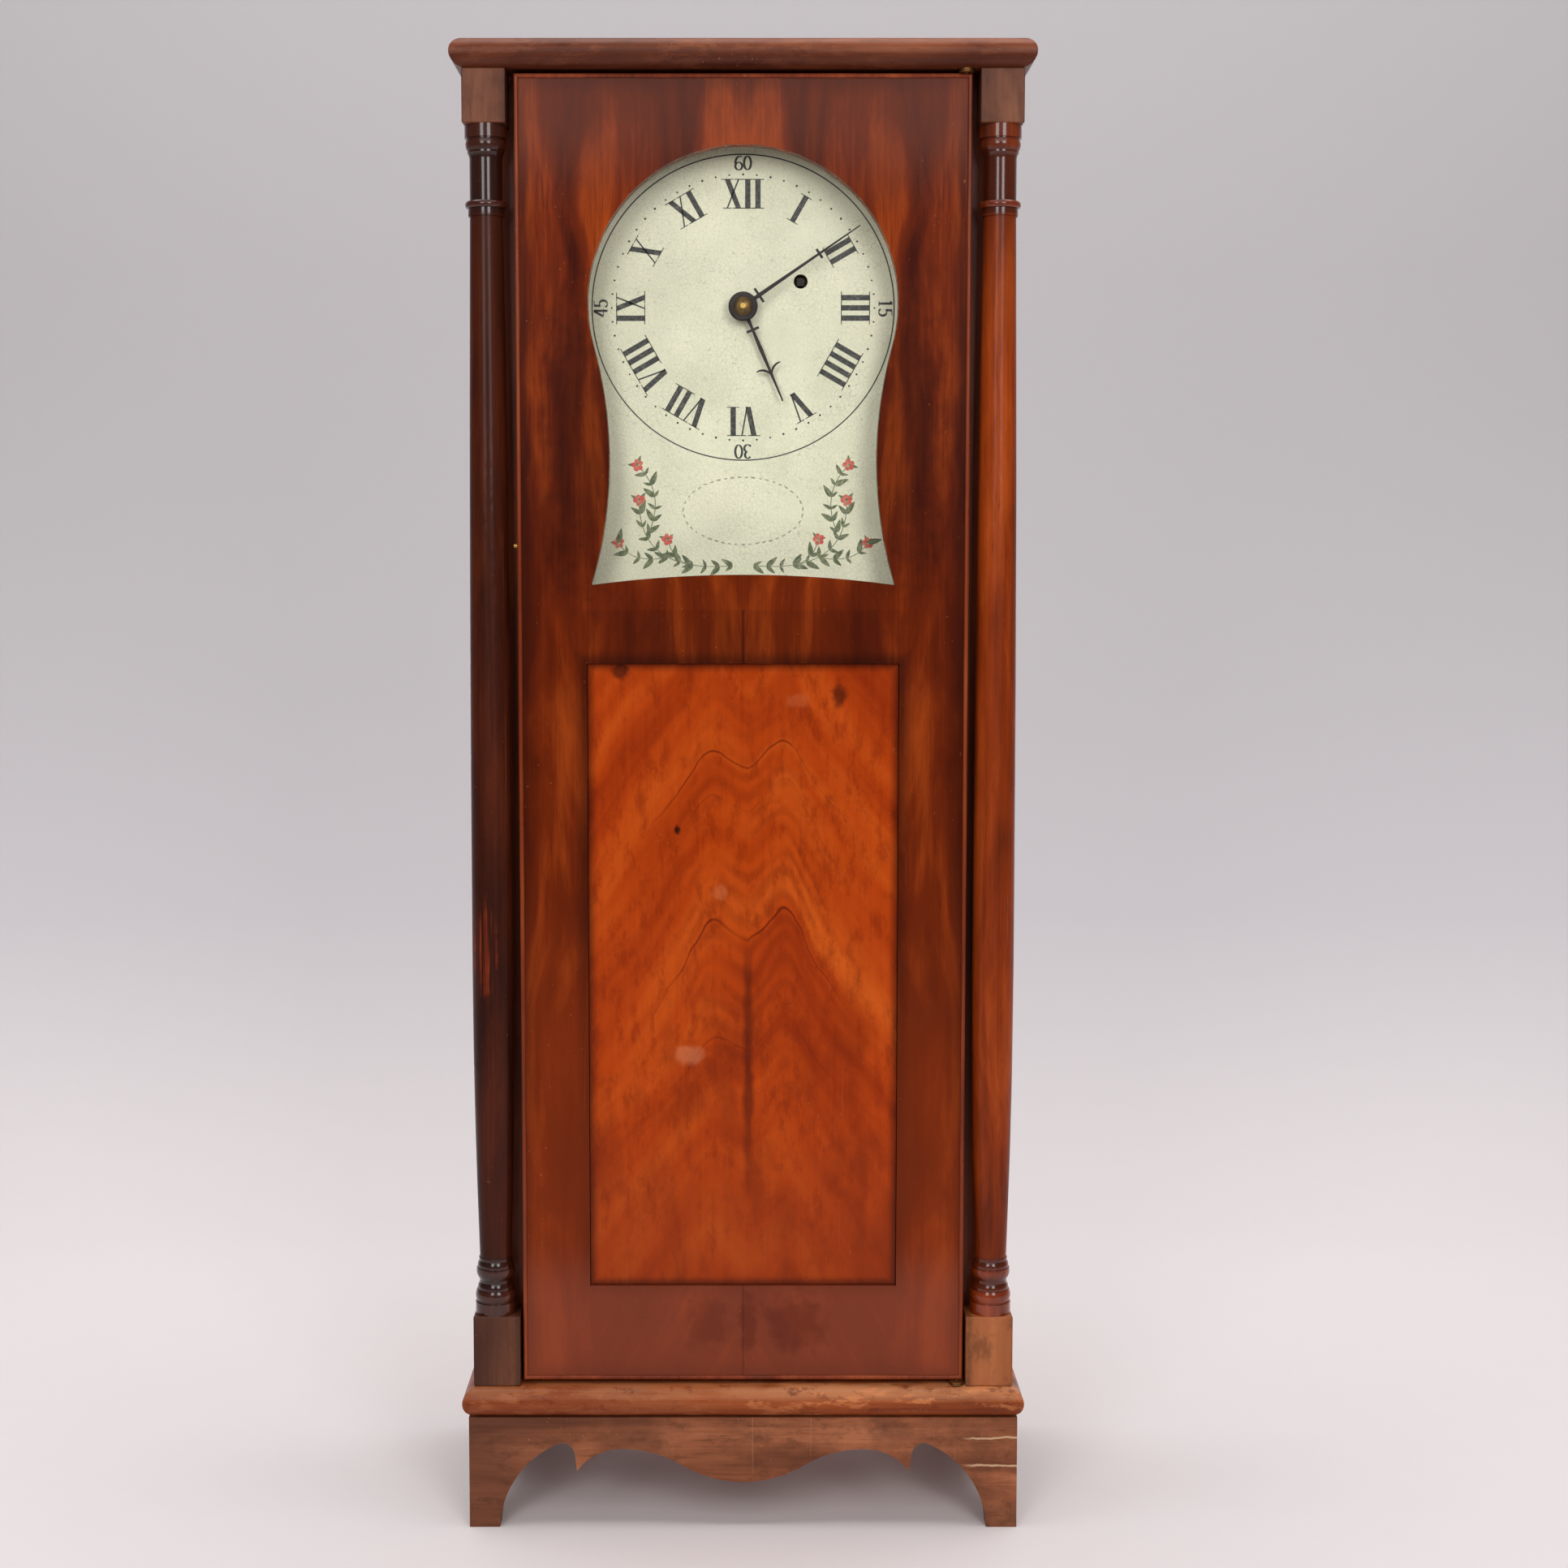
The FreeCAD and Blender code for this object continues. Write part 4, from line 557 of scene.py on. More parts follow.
def column_wood(name, seed, dark, middle, light):
    made = wood(name, seed=seed, band_scale=40.0, amount=0.7, sheen=0.08)
    figured(made, dark, middle, light, 0.22)
    rubbed = mark(made, -0.146, 0.335, 0.008, 0.034, 1.2)
    paint(made, rubbed * fade(made.streak, 0.42, 0.62), (150, 56, 24), 0.85)
    x, y, z = axes(made.place)
    off_x = abs(x) - column_x
    off_y = y - column_y
    radius = step("SQRT", off_x * off_x + off_y * off_y)
    turned = step("MAXIMUM", fade(z, column_low.z + 0.034, column_low.z + 0.031),
                  fade(z, column_high.z - 0.050, column_high.z - 0.047))
    paint(made, fade(z, 0.64, 0.76), (84, 42, 28), 0.4)
    # Painted shade with dirt: the grooves of the turnings are darker.
    paint(made, fade(radius, 0.0113, 0.0100) * turned, soot_and_painted_shade, 0.6)
    fill(made.shader, {"Coat Weight": turned * 0.75 + 0.1})
    return varnished(made, 0.34, 0.16, worn=(150, 86, 54))


# The left column's shades are darker than the right's: partly wood tone, partly painted shade.
dress(column_wood("Mahogany left column", 0.35, (38, 14, 8), (68, 27, 14), (102, 43, 21)), "column_left")
dress(column_wood("Mahogany right column", 0.65, (78, 27, 9), (140, 53, 14), (184, 81, 27)), "column_right")

made = wood("Mahogany blocks", seed=0.15, band_scale=34.0, amount=0.8, Coat_Weight=0.1)
figured(made, (66, 34, 21), (112, 64, 42), (156, 96, 64), 0.16)
paint(made, fade(made.smudge, 0.45, 0.66), (58, 32, 24), 0.5)
x, y, z = axes(made.place)
# Painted light: the lower left block is darker and the lower right block paler.
low = fade(z, 0.42, 0.40)
paint(made, low * fade(x, 0.01, -0.01), (56, 30, 22), 0.55)
paint(made, low * fade(x, -0.01, 0.01), (216, 126, 68), 0.42)
paint(made, fade(noise(made.place, (90, 90, 50), 6.0, 0.7), 0.48, 0.66), (84, 44, 26), 0.5)
paint(made, fade(abs(abs(x) - column_x), 0.0095, 0.0135), soot_and_painted_shade, 0.35)
dress(varnished(made, 0.42, 0.25, worn=scuffed_wood), "column_blocks")
print("columns", round(column_high.z - column_low.z, 4), "m long at", round(column_x, 4), "m from the middle")

# %% Apron and feet
split_levels = (0.0365, 0.0525)


def foot_wood(name, grain, seed):
    made = wood(name, grain=grain, seed=seed, band_scale=36.0, amount=0.6, Coat_Weight=0.05)
    figured(made, (90, 48, 28), (147, 86, 55), (188, 118, 81), 0.15)
    paint(made, fade(made.smudge, 0.46, 0.66), (84, 46, 30), 0.5)
    paint(made, fade(noise(made.place, (60, 60, 110), 6.0, 0.7), 0.5, 0.66), (96, 54, 34), 0.55)
    x, y, z = axes(made.place)
    on_foot = fade(x, 0.124, 0.134)
    waver = noise(made.place, 90.0) - 0.5
    for level in split_levels:
        away = abs(waver * 0.004 + (z - level))
        paint(made, fade(away, 0.0009, 0.0003) * on_foot, (216, 176, 138), 0.8)
    scuffed = fade(z, 0.016, 0.0) * fade(made.smudge, 0.35, 0.6)
    paint(made, scuffed, (70, 42, 30), 0.6)
    # Painted shade: darker toward the left end.
    paint(made, fade(x, -0.08, -0.15), (78, 46, 34), 0.5)
    return varnished(made, 0.5, 0.2, worn=(198, 146, 108), relief=0.4)


dress(foot_wood("Mahogany front feet", "x", 0.1), "front_apron")
dress(foot_wood("Mahogany side feet", "y", 0.55), "side_aprons")
print("apron and feet with", len(split_levels), "splits")

# %% [markdown]
# ## Pine inside and behind
# Makers saved mahogany for what shows. The backboard, the blocks behind the feet and the shelf that carries
# the movement are pine: pale, with wider rings, gone brown and dusty with age and left without varnish.


# %% Pine
def pine(name, grain, seed):
    made = wood(name, grain=grain, seed=seed, band_scale=30.0, run=0.06, amount=0.6)
    figured(made, (104, 70, 42), (156, 112, 70), (190, 150, 104), 0.35)
    paint(made, fade(made.smudge, 0.4, 0.75), (110, 88, 66), 0.5)
    return varnished(made, 0.72, 0.2, worn=(208, 176, 134), relief=0.5)


upright_pine, level_pine = pine("Pine upright", "z", 0.25), pine("Pine level", "x", 0.7)
dress(upright_pine, "backboard", "glue_blocks", "glazing_strips")
dress(level_pine, "seat_board", "seat_cleats", "rear_brackets")
print("pine:", upright_pine.name, "and", level_pine.name)

# %% [markdown]
# ## Metals
# The movement is brass with steel arbors, the screws are iron, the hinges brown brass, and the hands are
# blackened steel. Metal this old is never one clean colour: a brown film lies over brass, and iron has dark
# and rusty spots.


# %% Brass, steel and iron
def metal(name, bright, filmed, spotted, gloss, scale=60.0, film=0.6, metallic=1.0):
    made = new_material(name, Metallic=metallic)
    age = use(tarnish, made.place, scale)
    made.colour = mix(fade(age["Film"], 0.35, 0.7) * film, srgb(*bright), srgb(*filmed))
    paint(made, age["Spots"], spotted, 0.6)
    rough = age["Spots"] * 0.2 + (age["Film"] * 0.25 + gloss)
    fill(made.shader, {"Base Color": made.colour, "Roughness": rough})
    bump(made, age["Spots"] * 0.6 + age["Brushed"], 0.15, 0.0001)
    return made.material


iron = metal("Screw iron", (92, 84, 78), (58, 46, 40), (96, 54, 32), 0.4)
metal_nodes = {
    metal("Old brass", (196, 158, 84), (122, 88, 44), (66, 48, 28), 0.22): [
        "front_plate", "rear_plate", "plate_pillars", "pendulum_cock", "centre_wheel", "great_wheel",
        "third_wheel", "escape_wheel", "winding_drum", "minute_wheel", "hour_wheel", "door_catch",
        "pulley_wheel", "rating_nut"],
    metal("Movement steel", (158, 158, 160), (98, 94, 92), (70, 52, 40), 0.26): [
        "taper_pins", "click", "pallets", "crutch", "cannon_pinion", "suspension_spring", "pendulum_rod",
        "pulley_stirrup"],
    metal("Hinge brass", (132, 92, 54), (88, 58, 34), (98, 56, 32), 0.4): [
        "case_hinge_leaves", "door_hinge_leaves"],
    iron: ["wood_screws", "cock_screws", "line_anchor"],
    metal("Blackened hands", (38, 31, 30), (24, 20, 20), (62, 42, 34), 0.32, 120.0, 0.6, 0.6): [
        "minute_hand", "hour_hand"],
    metal("Weight iron", (70, 66, 64), (44, 38, 36), (104, 60, 38), 0.5): ["weight", "winding_arbor"],
    metal("Collet brass", (126, 102, 66), (76, 58, 38), (48, 36, 26), 0.28, 200.0): ["hand_collet"],
    metal("Bob brass", (204, 168, 92), (150, 112, 58), (84, 62, 34), 0.16, 30.0, 0.45): ["pendulum_bob"],
}
for material, names in metal_nodes.items():
    dress(material, *names)
print("metals on", sum(len(names) for names in metal_nodes.values()), "nodes")

# %% [markdown]
# ## The painted dial and its glass
# The dial is a sheet painted cream. Its paint has shrunk into a net of fine cracks, it has grey patches of
# grime, and it is greyer toward the left as painted shade. The glass is thin and old; it keeps a low alpha, so
# that light still reaches the dial and the plain reflection on its face stays.


# %% Dial paint and glass
def crazed(made, shade, strength, cell=250.0):
    """Ends a coat of paint with cracks, and flakes that cup between them."""
    crackle = use(cracked_paint, made.place, cell)
    paint(made, crackle["Crack"], shade, strength)
    fill(made.shader, {"Base Color": made.colour})
    bump(made, crackle["Cup"], 0.25, 0.0003)


made = new_material("Dial paint", Coat_Weight=0.12, Coat_Roughness=0.3)
stain = noise(made.place, 26.0, 4.0, 0.6)
cream = ((0.32, srgb(205, 204, 175)), (0.5, srgb(215, 214, 185)), (0.7, srgb(222, 220, 192)))
made.colour = ramp(stain, *cream)
paint(made, fade(noise(made.place, 15.0, 5.0, 0.7), 0.60, 0.78), (178, 172, 160), 0.2)
x, y, z = axes(made.place)
# Painted shade: the dial is greyer toward the left.
paint(made, fade(x, 0.0, -0.1), (186, 185, 158), 0.35)
fill(made.shader, {"Roughness": stain * 0.2 + 0.4})
crazed(made, (140, 136, 106), 0.45, 430.0)
dress(made.material, "dial_plate")

made = new_material("Door glass", Transmission_Weight=1.0, IOR=1.02, Alpha=0.35, Coat_Weight=0.6,
                    Coat_Roughness=0.02)
green_glass, clear_glass = (0.94, 0.97, 0.95, 1), (1, 1, 1, 1)
tint = ramp(noise(made.place, 30.0), (0.3, green_glass), (0.7, clear_glass))
fill(made.shader, {"Base Color": tint, "Roughness": noise(made.place, 40.0, 4.0) * 0.05})
bump(made, noise(made.place, 18.0, 2.0), 0.05, 0.0004)
dress(made.material, "door_glass")
nodes["door_glass"].visible_shadow = False
print("dial", (dial_high - dial_low)[:])

# %% [markdown]
# ## Numerals
# A dial painter works with a flat brush: upright strokes are broad and slanting-up strokes are thin, with a
# fine serif across each end. The roman figures stand with their feet toward the centre, and four o'clock has
# four strokes. Each stroke here is a flat four-sided slab of paint, about a tenth of a millimetre thick, so
# the figures are real pieces that stay put in any view and on any renderer.

# %% Paint slabs
paint_half = 0.00006
paint_thick = 2 * paint_half
dial_front = dial_low.y


def placed(name, data):
    """Puts data into the scene as an object."""
    item = bpy.data.objects.new(name, data)
    scene.collection.objects.link(item)
    return item


def add_piece(mesh, material, body="case"):
    """Puts a mesh into the scene as a piece of the same name that moves with a body."""
    piece = placed(mesh.name, mesh)
    mesh.materials.clear()
    mesh.materials.append(material)
    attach(piece, body)
    return piece


def mesh_from(name, shape, closed=True, smooth=False):
    """The mesh of a finished shape, which is freed. A closed one's faces are turned outward."""
    if closed:
        bmesh.ops.recalc_face_normals(shape, faces=shape.faces)
    for face in shape.faces if smooth else ():
        face.smooth = True
    mesh = bpy.data.meshes.new(name)
    shape.to_mesh(mesh)
    shape.free()
    return mesh


def wall(shape, low, high):
    """Faces all round between two loops of corners."""
    for i in range(len(low)):
        after = (i + 1) % len(low)
        shape.faces.new((low[i], low[after], high[after], high[i]))


def paint_mesh(name, outlines):
    """Closed slabs of paint on the dial from flat outlines of (x, z) corners."""
    shape = bmesh.new()
    for outline in outlines:
        front = [shape.verts.new((x, dial_front - paint_half, z)) for x, z in outline]
        back = [shape.verts.new((x, dial_front + paint_half, z)) for x, z in outline]
        shape.faces.new(front)
        shape.faces.new(list(reversed(back)))
        wall(shape, back, front)
    return mesh_from(name, shape)


def radial(outline, degrees, base_radius, height):
    """An outline drawn upright, 1 high, set round the dial with its foot toward the centre."""
    sine, cosine = math.sin(math.radians(degrees)), math.cos(math.radians(degrees))
    points = []
    for x, z in outline:
        out, side = base_radius + z * height, x * height
        points.append((out * sine + side * cosine, dial_centre + out * cosine - side * sine))
    return points


def round_dial(degrees, radius):
    """One point round the dial, counted from the top as a clock does."""
    return radial([(0, 0)], degrees, radius, 1)[0]


print("paint", paint_thick, "m thick on the dial's face at", round(dial_front, 4))


# %% Roman figures
broad, thin = 0.155, 0.045
serif, serif_reach = 0.030, 0.1
foot, head = 0.015, 0.985
numeral_foot, numeral_height, numeral_width = 0.0553, 0.0164, 1.2
# A letter's width, its strokes from foot place to head place, and its serifs: place, stroke and level.
letters = {
    "I": (0.29, [(0.14, 0.14, broad)], [(0.14, broad, foot), (0.14, broad, head)]),
    "V": (0.58, [(0.29, 0.12, broad), (0.32, 0.47, thin)], [(0.12, broad, head), (0.47, thin, head)]),
    "X": (0.57, [(0.45, 0.12, broad), (0.12, 0.45, thin)],
          [(0.12, broad, head), (0.45, broad, foot), (0.45, thin, head), (0.12, thin, foot)]),
}
hours = ["XII", "I", "II", "III", "IIII", "V", "VI", "VII", "VIII", "IX", "X", "XI"]


def bar(low_x, high_x, width, low=0, high=1):
    """A straight stroke, from the foot line to the head line if no levels are given."""
    half = width / 2
    return [(low_x - half, low), (low_x + half, low), (high_x + half, high), (high_x - half, high)]


roman = []
for hour, word in enumerate(hours):
    strokes, left = [], 0.0
    for letter in word:
        advance, bars, serifs = letters[letter]
        strokes += [bar(left + low_x, left + high_x, width) for low_x, high_x, width in bars]
        for x, width, level in serifs:
            span = level - serif / 2, level + serif / 2
            strokes.append(bar(left + x, left + x, width + 2 * serif_reach, *span))
        left += advance
    for stroke in strokes:
        centred = [((x - left / 2) * numeral_width, z) for x, z in stroke]
        roman.append(radial(centred, hour * 30, numeral_foot, numeral_height))

made = new_material("Numeral paint", Roughness=0.5)
thin_paint = fade(noise(made.place, 420.0, 4.0, 0.7), 0.50, 0.72)
rubbed = thin_paint * fade(noise(made.place, 40.0, 2.0), 0.38, 0.62)
made.colour = mix(rubbed * 0.35, srgb(30, 29, 26), srgb(118, 116, 100))
crazed(made, (150, 146, 118), 0.28)
black_paint = made.material
add_piece(paint_mesh("roman_numerals", roman), black_paint)
print(len(roman), "strokes in the roman figures")

# %% [markdown]
# The small figures for the quarter hours are written, not built: a pen follows a curve and is broad when it
# goes up or down and thin when it goes sideways. Each digit is a few arcs and lines in a box 1 high.


# %% Quarter-hour figures
def bow(x, z, wide, tall, start, end, steps=18):
    """Part of an oval, from one angle to another, counted from the right."""
    angles = [math.radians(start + (end - start) * i / steps) for i in range(steps + 1)]
    return [(x + wide * math.cos(a), z + tall * math.sin(a)) for a in angles]


def pen(path, broad=0.17, thin=0.06):
    """Four-sided strips along a path, as a broad pen draws them."""
    edges = []
    for i, (x, z) in enumerate(path):
        before, after = path[max(i - 1, 0)], path[min(i + 1, len(path) - 1)]
        dx, dz = after[0] - before[0], after[1] - before[1]
        length = math.hypot(dx, dz)
        half = (thin + (broad - thin) * abs(dz) / length) / 2
        side, up = dz / length * half, dx / length * half
        edges.append(((x - side, z + up), (x + side, z - up)))
    return [[a[0], a[1], b[1], b[0]] for a, b in zip(edges, edges[1:])]


digits = {
    "0": [bow(0.30, 0.5, 0.25, 0.48, 90, 450)],
    "1": [[(0.30, 0), (0.30, 1)], [(0.14, 0.84), (0.30, 0.98)], [(0.14, 0.02), (0.46, 0.02)]],
    "3": [bow(0.28, 0.74, 0.20, 0.24, 150, -85), bow(0.28, 0.26, 0.25, 0.26, 85, -150)],
    "4": [[(0.40, 1), (0.03, 0.3)], [(0.03, 0.3), (0.56, 0.3)], [(0.42, 1), (0.42, 0)]],
    "5": [[(0.15, 0.98), (0.13, 0.52)], [(0.15, 0.96), (0.50, 0.97)], bow(0.27, 0.3, 0.25, 0.29, 125, -150)],
    "6": [bow(0.40, 0.46, 0.34, 0.52, 70, 180), bow(0.31, 0.28, 0.25, 0.27, 180, 540)],
}
digit_foot, digit_height = 0.0766, 0.0078
pair_half, digit_pitch = 0.62, 0.64
ring_inner, ring_outer, ring_steps = 0.08494, 0.08566, 180
quarters = []
for degrees, number in ((0, "60"), (90, "15"), (180, "30"), (270, "45")):
    for place, digit in enumerate(number):
        for strip in [strip for path in digits[digit] for strip in pen(path)]:
            centred = [(x - pair_half + place * digit_pitch, z) for x, z in strip]
            quarters.append(radial(centred, degrees, digit_foot, digit_height))
ring = []
for i in range(ring_steps):
    a, b = 360 * i / ring_steps, 360 * (i + 1) / ring_steps
    corners = ((a, ring_inner), (a, ring_outer), (b, ring_outer), (b, ring_inner))
    ring.append([round_dial(degrees, radius) for degrees, radius in corners])
add_piece(paint_mesh("quarter_figures", quarters), black_paint)
add_piece(paint_mesh("dial_ring", ring), black_paint)
print(len(quarters), "strips in the quarter figures,", len(ring), "in the ring")

# %% [markdown]
# ## Dots, leaves and berries
# Sixty minute dots and the painted sprigs repeat one small shape along a path, which is what Geometry Nodes
# are for. One tree sets a disc on each point of a mesh. Another walks along a stem and sets a pair of leaves
# at each step. The trees have named inputs, so that the same leaf tree also draws the dashes of the oval.


# %% Tree tools and the dot tree
def new_growth(name, **inputs):
    """A Geometry Nodes tree with named inputs."""
    return new_tree(name, "GeometryNodeTree", {"Geometry": "Geometry", **inputs}, {"Geometry": "Geometry"})


def end_growth(geometry, material, leave):
    """Makes instances real, sets the material and closes the tree."""
    real = add("GeometryNodeRealizeInstances", {0: geometry})
    painted = add("GeometryNodeSetMaterial", {"Geometry": real, "Material": material})
    fill(leave, {"Geometry": painted})


def chance(tree, low, high, seed):
    """A random number for each point."""
    return add("FunctionNodeRandomValue", {2: low, 3: high, "Seed": seed}, 1, tree, data_type="FLOAT")


def grown(name, tree, mesh, **values):
    """The plain mesh that a tree makes from a starting mesh."""
    start = placed(name, mesh)
    modifier = start.modifiers.new("Grow", "NODES")
    modifier.node_group = tree
    for item in tree.interface.items_tree:
        if item.in_out == "INPUT" and item.name in values:
            modifier[item.identifier] = values[item.name]
    bpy.context.view_layer.update()
    result = bpy.data.meshes.new_from_object(start.evaluated_get(bpy.context.evaluated_depsgraph_get()))
    start.modifiers.remove(modifier)
    bpy.data.objects.remove(start)
    result.name = name
    return result


def points_mesh(name, points, linked=False):
    """Points on the dial's face, joined into a line if asked."""
    mesh = bpy.data.meshes.new(name)
    edges = [(i, i + 1) for i in range(len(points) - 1)] if linked else []
    mesh.from_pydata([(x, dial_front, z) for x, z in points], edges, [])
    return mesh


facing_front = (math.pi / 2, 0, 0)
dot_tree, entry, leave = new_growth("Painted dots", Radius="Float", Thickness="Float", Paint="Material")
round_size = {"Vertices": 12, "Radius": entry["Radius"], "Depth": entry["Thickness"]}
disc = add("GeometryNodeMeshCylinder", round_size)
disc = add("GeometryNodeTransform", {"Geometry": disc, "Rotation": facing_front})
size = chance(dot_tree, 0.85, 1.15, 4)
set_dots = {"Points": entry["Geometry"], "Instance": disc, "Scale": size}
end_growth(add("GeometryNodeInstanceOnPoints", set_dots), entry["Paint"], leave)
print(dot_tree.name, "has", len(dot_tree.nodes), "nodes")

# %% Minute dots
dot_radius, track_radius = 0.0006, 0.0742
track = points_mesh("minute_points", [round_dial(minute * 6, track_radius) for minute in range(60)])
dots = grown("minute_dots", dot_tree, track, Radius=dot_radius, Thickness=paint_thick, Paint=black_paint)
add_piece(dots, black_paint)
print("minute dots:", len(dots.polygons), "faces")

# %% Leaf tree
leaf_tree, entry, leave = new_growth("Leaves on a stem", Steps="Int", Length="Float", Width="Float",
                                     Thickness="Float", Tilt="Float", Paint="Material")
leaf = add("GeometryNodeMeshCylinder", {"Vertices": 16, "Radius": 0.5, "Depth": 1.0}, 0, leaf_tree)
x, y, z = axes(add("GeometryNodeInputPosition", {}, 0, leaf_tree))
tapered = joined(x, y * step("SUBTRACT", 1.0, x), z)
leaf = add("GeometryNodeSetPosition", {"Geometry": leaf, "Position": tapered})
leaf_size = joined(entry["Length"], entry["Width"], entry["Thickness"])
foot_first = joined(entry["Length"] * 0.5, 0.0, 0.0)
sized = {"Geometry": leaf, "Scale": leaf_size, "Translation": foot_first}
leaf = add("GeometryNodeTransform", sized)
leaf = add("GeometryNodeTransform", {"Geometry": leaf, "Rotation": facing_front})
stem = add("GeometryNodeMeshToCurve", {0: entry["Geometry"]})
walk = put("GeometryNodeCurveToPoints", {"Curve": stem, "Count": entry["Steps"]}, mode="COUNT")
walk = by_name(walk.outputs)
x, y, z = axes(walk["Tangent"])
heading = step("ARCTAN2", z * -1.0, x)
pair = put("GeometryNodeJoinGeometry", {}, leaf_tree)
for side, seed in ((1.0, 7), (-1.0, 23)):
    size, lean = chance(leaf_tree, 0.55, 1.2, seed), chance(leaf_tree, 0.6, 1.5, seed + 1)
    turn = joined(0.0, entry["Tilt"] * lean * side + heading, 0.0)
    set_leaves = {"Points": walk["Points"], "Instance": leaf, "Scale": size, "Rotation": turn}
    fill(pair.inputs, {0: add("GeometryNodeInstanceOnPoints", set_leaves)})
end_growth(Value(pair.outputs[0]), entry["Paint"], leave)
print(leaf_tree.name, "has", len(leaf_tree.nodes), "nodes")


# %% Sprig paints
def brush_paint(name, shade, pale):
    made = new_material(name, Roughness=0.55)
    load = fade(noise(made.place, 300.0, 4.0, 0.7), 0.40, 0.7)
    made.colour = mix(load * 0.6, srgb(*shade), srgb(*pale))
    crazed(made, (170, 166, 138), 0.5)
    return made.material


leaf_paint = brush_paint("Leaf paint", (74, 84, 50), (140, 146, 108))
berry_paint = brush_paint("Berry paint", (186, 62, 46), (206, 132, 104))
oval_paint = brush_paint("Oval paint", (132, 134, 108), (182, 182, 152))
print("paints:", leaf_paint.name, berry_paint.name, oval_paint.name)


# %% Sprigs and the oval
def curve_points(start, bend, end, steps=16):
    """A quadratic curve between two points, pulled toward a third."""
    shares = [((1 - t) ** 2, 2 * t * (1 - t), t * t) for t in (i / steps for i in range(steps + 1))]
    return [tuple(p * a + q * b + r * c for a, b, c in zip(start, bend, end)) for p, q, r in shares]


art_z = dial_centre - 0.118
stems = [
    ((0.006, -0.027), (0.060, -0.032), (0.059, 0.010), 11),
    ((0.0535, -0.008), (0.044, 0.014), (0.060, 0.030), 7),
    ((0.044, -0.0225), (0.064, -0.026), (0.071, -0.014), 5),
    ((0.030, -0.0265), (0.040, -0.024), (0.043, -0.012), 3),
]
stem_broad, stem_thin = 0.0005, 0.0004
leaf_long, leaf_wide, leaf_tilt = 0.0072, 0.0026, math.radians(42)
berry_radius, cluster_radius, cluster_turns = 0.0014, 0.0021, (0.5, 1.8, 3.1, 4.4, 5.5)
dash_count, dash_long, dash_wide, dash_tilt = 44, 0.0026, 0.0007, 0.12
oval_up, oval_wide, oval_tall = 0.004, 0.034, 0.019
sprig_meshes, stem_strips, berries = [], [], []
for side in (-1, 1):
    for start, bend, end, steps in stems:
        path = [(side * x, art_z + z) for x, z in curve_points(start, bend, end)]
        stem_strips += pen(path, stem_broad, stem_thin)
        name = f"sprig_{len(sprig_meshes)}"
        sprig_meshes.append(grown(name, leaf_tree, points_mesh(name, path, True), Steps=steps, Length=leaf_long,
                                  Width=leaf_wide, Thickness=paint_thick, Tilt=leaf_tilt, Paint=leaf_paint))
        x, z = path[-1]
        berries += [(x + cluster_radius * math.cos(a), z + cluster_radius * math.sin(a)) for a in cluster_turns]
gathered = bmesh.new()
for mesh in [*sprig_meshes, paint_mesh("sprig_stems", stem_strips)]:
    gathered.from_mesh(mesh)
sprigs = mesh_from("leaf_sprigs", gathered, closed=False)
add_piece(sprigs, leaf_paint)
clusters = grown("red_berries", dot_tree, points_mesh("berry_points", berries), Radius=berry_radius,
                 Thickness=paint_thick, Paint=berry_paint)
add_piece(clusters, berry_paint)
oval_path = bow(0.0, art_z + oval_up, oval_wide, oval_tall, 0, 360, 90)
oval = grown("dashed_oval", leaf_tree, points_mesh("oval_line", oval_path, True), Steps=dash_count,
             Length=dash_long, Width=dash_wide, Thickness=paint_thick, Tilt=dash_tilt, Paint=oval_paint)
add_piece(oval, oval_paint)
print("sprigs", len(sprigs.polygons), "faces, berries", len(berries), "oval", len(oval.polygons), "faces")

# %% [markdown]
# ## Screws with slots
# The backboard and the seat board are held by slotted iron screws. One screw is turned and slotted as a mesh:
# a shank, a flat head, and two half-moons on the head with the slot left between them. The places are read
# from the frame's own screws, whose loose pieces are found one by one, and a tree sets a screw at each.

# %% The frame's screws
islands = bmesh.new()
islands.from_mesh(nodes["wood_screws"].data)
bmesh.ops.remove_doubles(islands, verts=islands.verts, dist=1e-6)
boxes = []
seen = set()
for start in islands.verts:
    if start in seen:
        continue
    found = [start]
    seen.add(start)
    for vert in found:
        fresh = [edge.other_vert(vert) for edge in vert.link_edges if edge.other_vert(vert) not in seen]
        seen.update(fresh)
        found += fresh
    boxes.append([Vector([pick(v.co[k] for v in found) for k in range(3)]) for pick in (min, max)])
islands.free()
back_screws = [(low, high) for low, high in boxes if high.y - low.y > high.z - low.z]
seat_screws = [(low, high) for low, high in boxes if high.y - low.y <= high.z - low.z]
screw_size = back_screws[0][1] - back_screws[0][0]
head_radius, screw_long = screw_size.x / 2, screw_size.y
print(len(back_screws), "back screws,", len(seat_screws), "seat screws, head radius", head_radius)

# %% One slotted screw, head up
shank_radius, slot_half = 0.5 * head_radius, 0.14 * head_radius
slot_depth, head_height, head_taper = 0.0009, 0.0018, 0.93
slot_floor = head_height - slot_depth
shank_sides, head_sides, moon_steps = 12, 24, 12


def drum(shape, radius, low, high, sides):
    """A closed upright cylinder."""
    matrix = Matrix.Translation((0, 0, (low + high) / 2))
    bmesh.ops.create_cone(shape, cap_ends=True, segments=sides, radius1=radius, radius2=radius,
                          depth=high - low, matrix=matrix)


